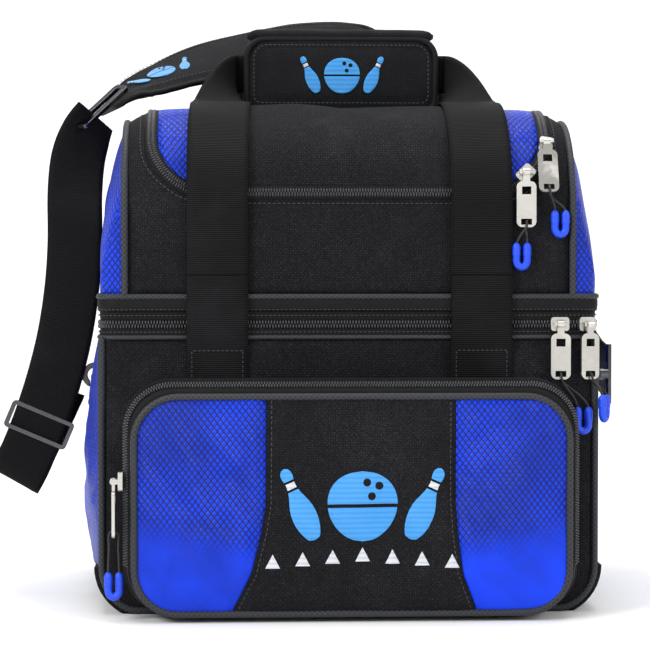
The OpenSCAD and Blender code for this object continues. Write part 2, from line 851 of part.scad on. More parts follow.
// Frame at a slider's crossbar, upright, facing the way the slider faces
module at_bar(at) {
    translate(at[0]) rotate(at[1])
        translate([0, -bar_out * cos(at[2]), bar_out * sin(at[2])]) children();
}

module cord(route) {
    color(black) tube(route, cord_d, 8);
}

module hung_end(place, turn) {
    color(bright_blue) translate(place) rotate(turn) rubber_end();
}

module main_slider() {
    on_zip(main_at) slider(0);
}

module corner_slider() {
    on_zip(corner_at) slider(0);
}

module flap_slider() {
    on_zip(flap_at) slider(45);
}

module side_flap_slider() {
    on_zip(side_flap_at) slider(80);
}

module pocket_slider() {
    on_zip(pocket_at) slider(90);
}

module main_pull() {
    at_bar(main_at) pull();
}

module corner_pull() {
    at_bar(corner_at) pull();
}

module flap_pull() {
    at_bar(flap_at) pull();
}

module side_flap_pull() {
    at_bar(side_flap_at) rotate([-side_flap_pull_lean, 0, 0]) pull();
}

module pocket_pull() {
    at_bar(pocket_at) pull();
}

module main_cord() {
    at_bar(main_at) cord(main_loop);
}

module corner_cord() {
    at_bar(corner_at) cord(corner_loop);
}

module flap_cord() {
    at_bar(flap_at) cord(flap_loop);
}

module side_flap_cord() {
    at_bar(side_flap_at) cord(side_flap_loop);
}

module pocket_cord() {
    at_bar(pocket_at) cord(pocket_loop);
}

module main_rubber_end() {
    at_bar(main_at) hung_end([15, 1, -56], 0);
}

module corner_rubber_end() {
    at_bar(corner_at) hung_end([8, -5, -48], 40);
}

module flap_rubber_end() {
    at_bar(flap_at) hung_end([-3, 0, -48], 0);
}

module side_flap_rubber_end() {
    at_bar(side_flap_at) hung_end([8, -8, -47], 0);
}

module pocket_rubber_end() {
    at_bar(pocket_at) hung_end([0, 0, -60], 90);
}

lower_front_panel();
lower_back_panel();
lower_side_panels();
lower_bottom_panel();
base_board();
ball_cup();
lower_piping();
main_zip_lower_tape();
pocket_gusset();
pocket_zip_body_tape();
sewn_webbing();
side_rings();
shoe_front_panel();
shoe_back_panel();
shoe_side_panels();
shoe_floor();
shoe_top_frame();
shoe_piping();
main_zip_upper_tape();
shoe_zip_body_tape();
flap_middle();
flap_sides();
flap_zip_tape();
pocket_middle();
pocket_sides();
pocket_piping();
pocket_zip_door_tape();
front_strap_low();
front_strap_high();
back_strap_low();
back_strap_high();
grip_rear();
grip_front();
shoulder_pad();
shoulder_webbing();
strap_buckles();
snap_hooks();
hook_swivels();
left_gate();
right_gate();
main_slider();
corner_slider();
flap_slider();
side_flap_slider();
pocket_slider();
main_pull();
corner_pull();
flap_pull();
side_flap_pull();
pocket_pull();
main_cord();
corner_cord();
flap_cord();
side_flap_cord();
pocket_cord();
main_rubber_end();
corner_rubber_end();
flap_rubber_end();
side_flap_rubber_end();
pocket_rubber_end();
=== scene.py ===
import math
from contextlib import contextmanager

import bmesh
import bpy
import numpy as np
from mathutils import Matrix, Vector
from mathutils import noise as field


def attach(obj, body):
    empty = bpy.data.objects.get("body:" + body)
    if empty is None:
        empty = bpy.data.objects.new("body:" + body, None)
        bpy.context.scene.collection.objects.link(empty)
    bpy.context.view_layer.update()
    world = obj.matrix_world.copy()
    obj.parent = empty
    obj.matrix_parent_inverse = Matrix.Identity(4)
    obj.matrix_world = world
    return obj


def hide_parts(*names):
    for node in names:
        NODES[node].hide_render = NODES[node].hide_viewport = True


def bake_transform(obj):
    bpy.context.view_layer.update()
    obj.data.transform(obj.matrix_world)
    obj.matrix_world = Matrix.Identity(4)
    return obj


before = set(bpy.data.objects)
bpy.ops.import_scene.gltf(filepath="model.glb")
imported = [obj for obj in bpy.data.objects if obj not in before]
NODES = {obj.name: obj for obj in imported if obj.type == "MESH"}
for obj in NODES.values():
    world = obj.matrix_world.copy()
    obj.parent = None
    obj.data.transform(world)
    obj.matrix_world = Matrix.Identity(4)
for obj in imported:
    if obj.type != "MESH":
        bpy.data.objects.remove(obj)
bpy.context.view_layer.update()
MM = 0.001

# Sizes of the bag in millimetres, as its hard parts are placed
HALF_W, HALF_D = 162.5, 118.0
LOWER_TOP, SPLIT, SHOE, TOP = 180.0, 189.0, 208.0, 332.0
FRONT_BEND, BACK_BEND, SIDE_BEND = 60.0, 30.0, 45.0
PLAN_ROUND, FOOT_ROUND, SIDE_HALF = 12.0, 30.0, 114.0
FRONT_FLAT, BACK_FLAT = 64.0, 113.0
BEND_Y, BEND_Z = FRONT_BEND - HALF_D, SHOE + FRONT_FLAT
BACK_Y, BACK_Z = HALF_D - BACK_BEND, TOP - BACK_BEND
SEAM_X = 146.0
FLAP_LOW, FLAP_HALF, FLAP_ROUND, HINGE_Y = 279.0, 125.0, 34.0, 60.0
TAPE_OUT = 8.6


def vec(x, y, z):
    return Vector((x, y, z))


# ---------- camera ----------

CAMERA_BACK = 1.62
camera_data = bpy.data.cameras.new("camera")
camera_data.sensor_width = 36
camera_data.lens = 36 * (CAMERA_BACK - 0.118) / 0.65 / 0.65
camera = bpy.data.objects.new("camera", camera_data)
bpy.context.scene.collection.objects.link(camera)
camera.location = (-0.085, -CAMERA_BACK, 0.236)
aim = Vector((-0.016, -0.118, 0.1885)) - camera.location
camera.rotation_euler = aim.to_track_quat("-Z", "Y").to_euler()
bpy.context.scene.camera = camera


# ---------- meshes ----------


def link(name, mesh, material):
    """Object at the origin whose mesh is already in place."""
    piece = bpy.data.objects.new(name, mesh)
    bpy.context.scene.collection.objects.link(piece)
    mesh.materials.append(material)
    return piece


def mesh_piece(name, points, faces, material, uv=None):
    """Mesh from points in millimetres; uv is one pair for each point."""
    mesh = bpy.data.meshes.new(name)
    mesh.from_pydata([[c * MM for c in p] for p in points], [], faces)
    mesh.update()
    if uv is not None:
        layer = mesh.uv_layers.new(name="strip")
        for loop in mesh.loops:
            layer.data[loop.index].uv = uv[loop.vertex_index]
    mesh.polygons.foreach_set("use_smooth", [True] * len(mesh.polygons))
    return link(name, mesh, material)


def grid_faces(rows, columns, wrap=False, start=0, skip=None):
    """Quads of a grid whose points run along each row."""
    faces = []
    for i in range(rows - 1):
        for j in range(columns if wrap else columns - 1):
            if skip and skip(i, j):
                continue
            k = (j + 1) % columns
            a, b = start + i * columns + j, start + i * columns + k
            faces.append((a, b, b + columns, a + columns))
    return faces


def grid_piece(name, rows, material, wrap=False, skip=None, flip=False, uv=None):
    """Surface through rows of points, all of one length."""
    points = [p for row in rows for p in row]
    faces = grid_faces(len(rows), len(rows[0]), wrap, 0, skip)
    if flip:
        faces = [tuple(reversed(f)) for f in faces]
    return mesh_piece(name, points, faces, material, uv=uv)


@contextmanager
def editing(mesh):
    """The mesh opened for editing, and written back afterwards."""
    bm = bmesh.new()
    bm.from_mesh(mesh)
    yield bm
    bm.to_mesh(mesh)
    bm.free()


def close_ends(piece, ring, recalculate=True):
    """Closes both ends of a tube-like grid whose rows have so many points."""
    with editing(piece.data) as bm:
        bm.verts.ensure_lookup_table()
        total = len(bm.verts)
        bm.faces.new([bm.verts[j] for j in reversed(range(ring))])
        bm.faces.new([bm.verts[total - ring + j] for j in range(ring)])
        if recalculate:
            bmesh.ops.recalc_face_normals(bm, faces=bm.faces)


def merge_doubles(piece, distance):
    with editing(piece.data) as bm:
        bmesh.ops.remove_doubles(bm, verts=bm.verts, dist=distance)


def apply_modifiers(piece):
    """Turns the modified shape into the piece's own mesh."""
    bpy.context.view_layer.update()
    graph = bpy.context.evaluated_depsgraph_get()
    mesh = bpy.data.meshes.new_from_object(piece.evaluated_get(graph), depsgraph=graph)
    piece.modifiers.clear()
    piece.data = mesh
    return piece


def thicken(piece, thick, lining=None):
    """Gives a sheet its thickness, inwards."""
    if lining is not None:
        piece.data.materials.append(lining)
    solid = piece.modifiers.new("thickness", "SOLIDIFY")
    solid.thickness = thick * MM
    solid.offset = -1.0
    solid.use_even_offset = False
    if lining is not None:
        solid.material_offset = 1
    return apply_modifiers(piece)


def join(name, pieces):
    """One mesh of several pieces that share a body."""
    bm = bmesh.new()
    slots = []
    for piece in pieces:
        start = len(bm.faces)
        bm.from_mesh(piece.data)
        bm.faces.ensure_lookup_table()
        for face in bm.faces[start:]:
            material = piece.data.materials[face.material_index]
            if material not in slots:
                slots.append(material)
            face.material_index = slots.index(material)
    mesh = bpy.data.meshes.new(name)
    bm.to_mesh(mesh)
    bm.free()
    for piece in pieces:
        bpy.data.objects.remove(piece)
    joined = bpy.data.objects.new(name, mesh)
    bpy.context.scene.collection.objects.link(joined)
    for material in slots:
        mesh.materials.append(material)
    return joined


def frames(path, up=None):
    """Heading and steady side vector at each point of a path."""
    count = len(path)
    heads = [(path[min(i + 1, count - 1)] - path[max(i - 1, 0)]).normalized() for i in range(count)]
    side = up or (vec(0, 0, 1) if abs(heads[0].z) < 0.9 else vec(0, 1, 0))
    sides = []
    for head in heads:
        side = (side - head * side.dot(head)).normalized()
        sides.append(side.copy())
    return heads, sides


def tube_piece(name, path, radius, material, sides=12, closed=False, up=None):
    """Round tube with rounded ends along a path in millimetres, with its length as V."""
    path = [Vector(p) for p in path]
    if closed:
        path = path + [path[0]]
    heads, ups = frames(path, up)
    if closed:
        heads[0] = heads[-1] = (path[1] - path[-2]).normalized()
        for i in (0, -1):
            ups[i] = (ups[0] - heads[i] * ups[0].dot(heads[i])).normalized()
    rings, length, along = [], 0.0, []
    stations = [(p, h, u, 1.0) for p, h, u in zip(path, heads, ups)]
    if not closed:
        caps = [(math.cos(a), math.sin(a)) for a in (0.0, 0.5, 1.0, 1.4)]
        ends = []
        for i, sign in ((0, -1), (-1, 1)):
            ends.append([(path[i] + heads[i] * radius * c * sign, heads[i], ups[i], max(s, 0.02)) for c, s in caps])
        stations = ends[0] + stations + ends[1][::-1]
    for k, (point, head, up_side, size) in enumerate(stations):
        other = head.cross(up_side)
        if k:
            length += (point - stations[k - 1][0]).length
        ring = []
        for j in range(sides):
            a = 2 * math.pi * j / sides
            ring.append(point + (up_side * math.cos(a) + other * math.sin(a)) * radius * size)
            along.append((j / sides, length * MM))
        rings.append(ring)
    piece = grid_piece(name, rings, material, wrap=True, uv=along)
    if closed:
        merge_doubles(piece, 1e-6)
    else:
        close_ends(piece, sides, False)
    return piece


def smooth_path(points, per=6):
    """Catmull-Rom curve through points."""
    pts = [Vector(p) for p in points]
    ends = [pts[0] * 2 - pts[1]] + pts + [pts[-1] * 2 - pts[-2]]
    out = []
    for i in range(1, len(ends) - 2):
        a, b, c, d = ends[i - 1 : i + 3]
        for k in range(per):
            t = k / per
            out.append(
                0.5 * (2 * b + (c - a) * t + (2 * a - 5 * b + 4 * c - d) * t * t + (3 * b - a - 3 * c + d) * t**3)
            )
    return out + [pts[-1]]


def even_path(points, step):
    """The same line with points an even step apart."""
    pts = [Vector(p) for p in points]
    lengths = np.array([0.0] + [(b - a).length for a, b in zip(pts, pts[1:])]).cumsum()
    count = max(2, int(round(lengths[-1] / step)) + 1)
    at = np.linspace(0, lengths[-1], count)
    cols = [np.interp(at, lengths, [p[k] for p in pts]) for k in range(3)]
    return [Vector(p) for p in zip(*cols)]


WEB_SPANS, WEB_EDGE = 10, 0.6


def ribbon_piece(name, path, sides_at, width, thick, material, crown=0.0):
    """Webbing along a path, with rounded edges, its width along the given sides."""
    path = [Vector(p) for p in path]
    count = len(path)
    profile = []
    for j in range(WEB_SPANS + 1):
        u = j / WEB_SPANS * 2 - 1
        profile.append((u * 0.5, 1.0 - crown * u * u))
    rows, uv, length = [], [], 0.0
    for i, point in enumerate(path):
        head = (path[min(i + 1, count - 1)] - path[max(i - 1, 0)]).normalized()
        normal = head.cross(Vector(sides_at[i])).normalized()
        side = normal.cross(head)
        if i:
            length += (point - path[i - 1]).length
        w = width[i] if isinstance(width, (list, tuple)) else width
        ring = []
        for top in (1, -1):
            for u, h in profile if top == 1 else reversed(profile):
                near_edge = abs(abs(u) - 0.5) < 1e-6
                rise = thick / 2 * (WEB_EDGE * h if near_edge else h)
                ring.append(point + side * u * w + normal * rise * top)
                uv.append(((u + 0.5) * w * MM, length * MM))
        rows.append(ring)
    piece = grid_piece(name, rows, material, wrap=True, uv=uv)
    close_ends(piece, len(rows[0]))
    return piece


# ---------- shader groups ----------


class Wiring:
    """Short calls for building a node tree."""

    def __init__(self, tree):
        self.tree = tree

    def add(self, kind, **settings):
        node = self.tree.nodes.new(kind)
        for key, value in settings.items():
            setattr(node, key, value)
        return node

    def put(self, socket, value):
        if isinstance(value, bpy.types.NodeSocket):
            self.tree.links.new(value, socket)
        elif value is not None:
            socket.default_value = value

    def math(self, operation, a, b=None):
        node = self.add("ShaderNodeMath", operation=operation)
        for socket, value in zip(node.inputs, (a, b)):
            self.put(socket, value)
        return node.outputs[0]

    def plus(self, a, b):
        return self.math("ADD", a, b)

    def minus(self, a, b):
        return self.math("SUBTRACT", a, b)

    def times(self, a, b):
        return self.math("MULTIPLY", a, b)

    def ripple_of(self, value, pitch):
        """Rounded ridges a pitch in millimetres apart."""
        return self.math("ABSOLUTE", self.math("SINE", self.times(value, math.pi / (pitch * MM))))

    def mix(self, factor, a, b):
        node = self.add("ShaderNodeMix", data_type="RGBA")
        self.put(node.inputs["Factor"], factor)
        self.put(node.inputs[6], a)
        self.put(node.inputs[7], b)
        return node.outputs[2]

    def noise(self, at, scale, detail=3.0, rough=0.55):
        node = self.add("ShaderNodeTexNoise")
        self.put(node.inputs["Vector"], at)
        self.put(node.inputs["Scale"], scale)
        self.put(node.inputs["Detail"], detail)
        self.put(node.inputs["Roughness"], rough)
        return node.outputs["Fac"]

    def ramp(self, value, low, high, low_out=0.0, high_out=1.0):
        node = self.add("ShaderNodeMapRange", clamp=True, interpolation_type="SMOOTHSTEP")
        for socket, v in zip(node.inputs, (value, low, high, low_out, high_out)):
            self.put(socket, v)
        return node.outputs[0]


def group(name, takes, gives):
    tree = bpy.data.node_groups.new(name, "ShaderNodeTree")
    kinds = {"v": "NodeSocketVector", "f": "NodeSocketFloat", "c": "NodeSocketColor"}
    for label, kind, value in takes:
        socket = tree.interface.new_socket(label, in_out="INPUT", socket_type=kinds[kind])
        if value is not None:
            socket.default_value = value
    for label, kind in gives:
        tree.interface.new_socket(label, in_out="OUTPUT", socket_type=kinds[kind])
    wiring = Wiring(tree)
    return wiring, wiring.add("NodeGroupInput").outputs, wiring.add("NodeGroupOutput").inputs


def make_weave_group():
    """Plain weave: over and under threads along two directions of a flat coordinate."""
    w, given, out = group(
        "plain_weave",
        [("Across", "f", 0.0), ("Along", "f", 0.0), ("Threads", "f", 900.0), ("Yarn", "v", None)],
        [("Height", "f"), ("Shade", "f")],
    )
    a = w.times(given["Across"], given["Threads"])
    b = w.times(given["Along"], given["Threads"])
    wave_a = w.math("ABSOLUTE", w.math("SINE", w.times(a, math.pi)))
    wave_b = w.math("ABSOLUTE", w.math("SINE", w.times(b, math.pi)))
    parity = w.math("PINGPONG", w.plus(w.math("FLOOR", a), w.math("FLOOR", b)), 1.0)
    over = w.times(w.times(wave_a, parity), wave_b)
    under = w.times(w.times(wave_b, w.minus(1.0, parity)), wave_a)
    height = w.plus(w.times(over, 1.0), w.times(under, 0.55))
    w.put(out["Height"], height)
    # Shade: lighter on the raised threads and darker where they dip under, a painted shade in the weave's hollows,
    # plus random yarn flecks.
    fleck = w.noise(given["Yarn"], 420.0, 2.0)
    w.put(out["Shade"], w.plus(w.times(height, 0.5), w.times(fleck, 0.6)))
    return w.tree


def make_diamond_group():
    """Mask of crossed diagonal lines; cells are so wide and so high."""
    w, given, out = group(
        "diamond_grid",
        [
            ("Across", "f", 0.0),
            ("Along", "f", 0.0),
            ("Cell width", "f", 0.004),
            ("Cell height", "f", 0.0052),
            ("Line", "f", 0.16),
        ],
        [("Line mask", "f"), ("Height", "f")],
    )
    a = w.math("DIVIDE", given["Across"], given["Cell width"])
    b = w.math("DIVIDE", given["Along"], given["Cell height"])
    one = w.math("PINGPONG", w.plus(a, b), 0.5)
    two = w.math("PINGPONG", w.minus(a, b), 0.5)
    near = w.math("MINIMUM", one, two)
    half = w.times(given["Line"], 0.5)
    w.put(out["Line mask"], w.ramp(near, half, w.times(half, 1.9), 1.0, 0.0))
    w.put(out["Height"], w.ramp(near, 0.0, 0.3))
    return w.tree


def make_wear_group():
    """Slow patches of dust and rubbing for tint and roughness."""
    w, given, out = group("handling", [("Place", "v", None), ("Amount", "f", 0.2)], [("Dust", "f"), ("Rub", "f")])
    dust = w.ramp(w.noise(given["Place"], 14.0, 5.0), 0.45, 0.8)
    rub = w.ramp(w.noise(given["Place"], 55.0, 4.0), 0.5, 0.75)
    w.put(out["Dust"], w.times(dust, given["Amount"]))
    w.put(out["Rub"], w.times(rub, given["Amount"]))
    return w.tree


WEAVE, DIAMOND, WEAR = make_weave_group(), make_diamond_group(), make_wear_group()


# ---------- materials ----------


class Finish(Wiring):
    """A material with its Principled shader and the piece's coordinates."""

    def __init__(self, name, rough=0.5, metallic=0.0, **fixed):
        self.material = bpy.data.materials.new(name)
        self.material.use_nodes = True
        super().__init__(self.material.node_tree)
        self.shader = self.tree.nodes["Principled BSDF"]
        self.shader.inputs["Roughness"].default_value = rough
        self.shader.inputs["Metallic"].default_value = metallic
        for label, value in fixed.items():
            self.shader.inputs[label.replace("_", " ")].default_value = value
        coords = self.add("ShaderNodeTexCoord")
        self.place = coords.outputs["Object"]
        self.uv = coords.outputs["UV"]
        split = self.add("ShaderNodeSeparateXYZ")
        self.put(split.inputs[0], self.place)
        self.x, self.y, self.z = split.outputs

    def use(self, tree, **values):
        node = self.add("ShaderNodeGroup", node_tree=tree)
        for label, value in values.items():
            self.put(node.inputs[label.replace("_", " ")], value)
        return node.outputs

    def set(self, label, value):
        self.put(self.shader.inputs[label], value)

    def bump(self, height, distance, strength=1.0):
        node = self.add("ShaderNodeBump")
        node.inputs["Strength"].default_value = strength
        node.inputs["Distance"].default_value = distance * MM
        self.put(node.inputs["Height"], height)
        self.set("Normal", node.outputs["Normal"])

    def strip_axes(self):
        """Across and along from the piece's own strip map, in metres."""
        split = self.add("ShaderNodeSeparateXYZ")
        self.put(split.inputs[0], self.uv)
        return split.outputs[0], split.outputs[1]

    def face_axes(self):
        """Flat coordinates picked by which way the surface faces."""
        normal = self.add("ShaderNodeNewGeometry").outputs["True Normal"]
        split = self.add("ShaderNodeSeparateXYZ")
        self.put(split.inputs[0], normal)
        side = self.math("GREATER_THAN", self.math("ABSOLUTE", split.outputs[0]), 0.7071)
        flat = self.math("GREATER_THAN", self.math("ABSOLUTE", split.outputs[2]), 0.7071)
        across = self.plus(self.times(self.x, self.minus(1.0, side)), self.times(self.y, side))
        along = self.plus(self.times(self.z, self.minus(1.0, flat)), self.times(self.y, flat))
        return across, along


def woven(name, dark, light, threads, depth, rough=0.78):
    """Plain woven fabric with painted shade where its threads dip under, random yarn tone and dust patches."""
    f = Finish(name, rough, Sheen_Weight=0.0, Specular_IOR_Level=0.16)
    across, along = f.face_axes()
    cloth = f.use(WEAVE, Across=across, Along=along, Threads=threads, Yarn=f.place)
    wear = f.use(WEAR, Place=f.place, Amount=0.35)
    # Painted shade from the weave's dips, with dust added on top.
    shade = f.plus(cloth["Shade"], wear["Dust"])
    yarn = f.ramp(f.noise(f.place, 1100.0, 2.0), 0.42, 0.68, 0.25, 1.0)
    f.set("Base Color", f.mix(f.times(f.ramp(shade, 0.15, 1.05), yarn), dark, light))
    f.set("Roughness", f.minus(rough, f.times(wear["Rub"], 0.3)))
    f.bump(cloth["Height"], depth, 0.8)
    return f.material


def ripstop(name, base, line, plain_below=None, strip=False):
    """Glossy blue cloth with a diamond grid that fades out towards the bottom, and painted light and shade in slow
    noise patches over it.
    """
    f = Finish(name, 0.42, Specular_IOR_Level=0.22)
    across, along = f.strip_axes() if strip else (f.x, f.z)
    if not strip and plain_below is None:
        across, along = f.face_axes()
    grid = f.use(DIAMOND, Across=across, Along=along)
    cloth = f.use(WEAVE, Across=across, Along=along, Threads=1500.0, Yarn=f.place)
    wear = f.use(WEAR, Place=f.place, Amount=0.3)
    shown = 1.0
    if plain_below is not None:
        edge = f.plus(f.times(f.math("ABSOLUTE", f.x), plain_below[1]), plain_below[0])
        shown = f.ramp(f.minus(f.z, edge), -0.010, 0.012)
    mask = f.times(grid["Line mask"], shown)
    # Painted light and shade: the blue is darkened and brightened in slow noise patches, standing in for light on
    # folds.
    painted_fold_light = f.noise(f.place, 16.0, 4.0)
    shaded, bright = ([c * share for c in base[:3]] + [1] for share in (0.72, 1.2))
    lit = f.mix(f.ramp(painted_fold_light, 0.34, 0.66), shaded, bright)
    tinted = f.mix(f.times(mask, 0.88), lit, line)
    f.set("Base Color", tinted)
    f.set("Roughness", f.plus(f.times(cloth["Shade"], 0.12), f.plus(0.3, wear["Rub"])))
    crease = f.noise(f.place, 22.0, 4.0, 0.6)
    height = f.plus(f.times(f.times(grid["Height"], shown), 0.5),
        f.plus(f.times(crease, 2.6), f.times(cloth["Height"], 0.04)),
    )
    f.bump(height, 1.1, 0.75)
    return f.material


def webbing_finish(name, pitch, depth):
    """Ribbed black webbing: ribs across the strip, fine threads along it."""
    f = Finish(name, 0.58, Specular_IOR_Level=0.1)
    across, along = f.strip_axes()
    rib = f.ripple_of(along, pitch)
    thread = f.ripple_of(across, 0.9)
    height = f.plus(f.times(rib, 0.8), f.times(thread, 0.25))
    wear = f.use(WEAR, Place=f.place, Amount=0.5)
    # Painted shade: the colour is lighter on the rib and thread crests and darker in the grooves between them, with
    # dust on top.
    rib_shade_and_dust = f.plus(f.times(height, 0.7), wear["Dust"])
    f.set("Base Color", f.mix(f.ramp(rib_shade_and_dust, 0.2, 0.95), [0.0003, 0.0003, 0.0004, 1], [0.011, 0.011, 0.0125, 1]))
    f.set("Roughness", f.minus(0.66, f.times(rib, 0.12)))
    f.bump(height, depth, 0.9)
    return f.material


def piping_finish():
    """Charcoal cord cover with a lighter diamond grid along its length."""
    f = Finish("piping_cover", 0.55, Specular_IOR_Level=0.35)
    across, along = f.strip_axes()
    grid = f.use(DIAMOND, Across=across, Along=along, Cell_width=0.25, Cell_height=0.0034, Line=0.16)
    wear = f.use(WEAR, Place=f.place, Amount=0.4)
    base = f.mix(wear["Dust"], [0.011, 0.012, 0.015, 1], [0.022, 0.023, 0.027, 1])
    f.set("Base Color", f.mix(f.times(grid["Line mask"], 0.8), base, [0.042, 0.046, 0.054, 1]))
    f.bump(grid["Line mask"], 0.25, 0.6)
    return f.material


def metal(name, color, rough, brushed):
    """Metal with fine brushing and small scuffs."""
    f = Finish(name, rough, 1.0)
    wear = f.use(WEAR, Place=f.place, Amount=0.5)
    stretch = f.add("ShaderNodeMapping")
    stretch.inputs["Scale"].default_value = (400, 400, 4000)
    f.put(stretch.inputs["Vector"], f.place)
    lines = f.noise(stretch.outputs[0], 1.0, 2.0)
    f.set("Base Color", f.mix(wear["Dust"], color, [c * 0.72 for c in color[:3]] + [1]))
    f.set("Roughness", f.plus(f.times(lines, brushed), f.plus(rough - brushed / 2, wear["Rub"])))
    f.bump(lines, 0.03, 0.5)
    return f.material


def simple(name, dark, light, rough, scale=180.0, depth=0.06, **fixed):
    """Moulded or knitted surface with a fine even grain."""
    f = Finish(name, rough, **fixed)
    grain = f.noise(f.place, scale, 3.0)
    wear = f.use(WEAR, Place=f.place, Amount=0.3)
    f.set("Base Color", f.mix(f.plus(f.times(grain, 0.6), wear["Dust"]), dark, light))
    f.set("Roughness", f.plus(f.times(grain, 0.12), f.plus(rough - 0.06, wear["Rub"])))
    f.bump(grain, depth, 0.6)
    return f.material


def thread_finish(name, dark, light, angle_spread):
    """Satin stitch: fine parallel threads that turn slowly across the shape."""
    f = Finish(name, 0.38, Sheen_Weight=0.3, Specular_IOR_Level=0.7)
    slow = f.times(f.noise(f.place, 12.0, 1.0), angle_spread)
    run = f.plus(f.plus(f.x, f.times(f.z, 0.55)), slow)
    thread = f.ripple_of(run, 0.45)
    rows = f.ripple_of(f.z, 3.2)
    # Painted sheen and shade: the colour is lighter on each thread's crest and each row's middle, and darker between
    # them.
    f.set("Base Color", f.mix(f.plus(f.times(thread, 0.55), f.times(rows, 0.45)), dark, light))
    f.bump(f.plus(thread, f.times(rows, 0.5)), 0.18, 0.8)
    return f.material


BLACK_CLOTH = woven("black_cloth", [0.0008, 0.0008, 0.0012, 1], [0.030, 0.031, 0.038, 1], 640.0, 0.34)
LINING = simple(
    "black_lining", [0.0025, 0.0025, 0.003, 1], [0.010, 0.010, 0.011, 1], 0.8, 600.0, 0.1, Specular_IOR_Level=0.2
)
BLUE = ([0.001, 0.034, 0.58, 1], [0.001, 0.004, 0.035, 1])
BLUE_FACE = ripstop("blue_ripstop_face", *BLUE, plain_below=(0.030, 0.22))
BLUE_SIDE = ripstop("blue_ripstop_side", *BLUE)
PIPING = piping_finish()
WEBBING = webbing_finish("ribbed_webbing", 1.25, 0.4)
TAPE = woven("zip_tape_cloth", [0.002, 0.002, 0.0025, 1], [0.010, 0.010, 0.012, 1], 1400.0, 0.12, 0.6)
COIL = simple("zip_coil", [0.02, 0.02, 0.023, 1], [0.06, 0.06, 0.066, 1], 0.32, 900.0, 0.02, Specular_IOR_Level=0.65)
NICKEL = metal("brushed_nickel", [0.62, 0.60, 0.56, 1], 0.3, 0.16)
DARK_METAL = metal("dark_chrome", [0.10, 0.10, 0.11, 1], 0.2, 0.08)
RUBBER = simple(
    "blue_rubber", [0.003, 0.045, 0.60, 1], [0.006, 0.075, 0.78, 1], 0.42, 260.0, 0.04, Specular_IOR_Level=0.5
)
CORD = simple("braided_cord", [0.004, 0.004, 0.005, 1], [0.025, 0.025, 0.028, 1], 0.6, 1600.0, 0.15)
BOARD = simple("base_board_plastic", [0.012, 0.012, 0.013, 1], [0.03, 0.03, 0.032, 1], 0.5, 320.0, 0.08)
FOAM = simple("foam_cover", [0.02, 0.02, 0.022, 1], [0.06, 0.06, 0.065, 1], 0.9, 700.0, 0.2, Sheen_Weight=0.4)
THREAD = simple("sewing_thread", [0.012, 0.012, 0.014, 1], [0.05, 0.05, 0.055, 1], 0.5, 2000.0, 0.05)
SKY_THREAD = thread_finish("sky_embroidery", [0.002, 0.13, 0.55, 1], [0.03, 0.38, 0.85, 1], 0.02)
WHITE_THREAD = thread_finish("white_embroidery", [0.36, 0.38, 0.42, 1], [0.74, 0.76, 0.80, 1], 0.01)
BINDING = woven("edge_binding", [0.003, 0.003, 0.0035, 1], [0.014, 0.014, 0.017, 1], 1100.0, 0.15, 0.6)


# ---------- pull cords ----------

BAR_OUT = 5.9


def on_front_edge(x, degrees):
    """Place on the shoe compartment's rounded front edge, and the slider's turn and lean there."""
    a = math.radians(degrees)
    return (x, BEND_Y - 60.6 * math.cos(a), BEND_Z + 60.6 * math.sin(a)), 0.0, degrees


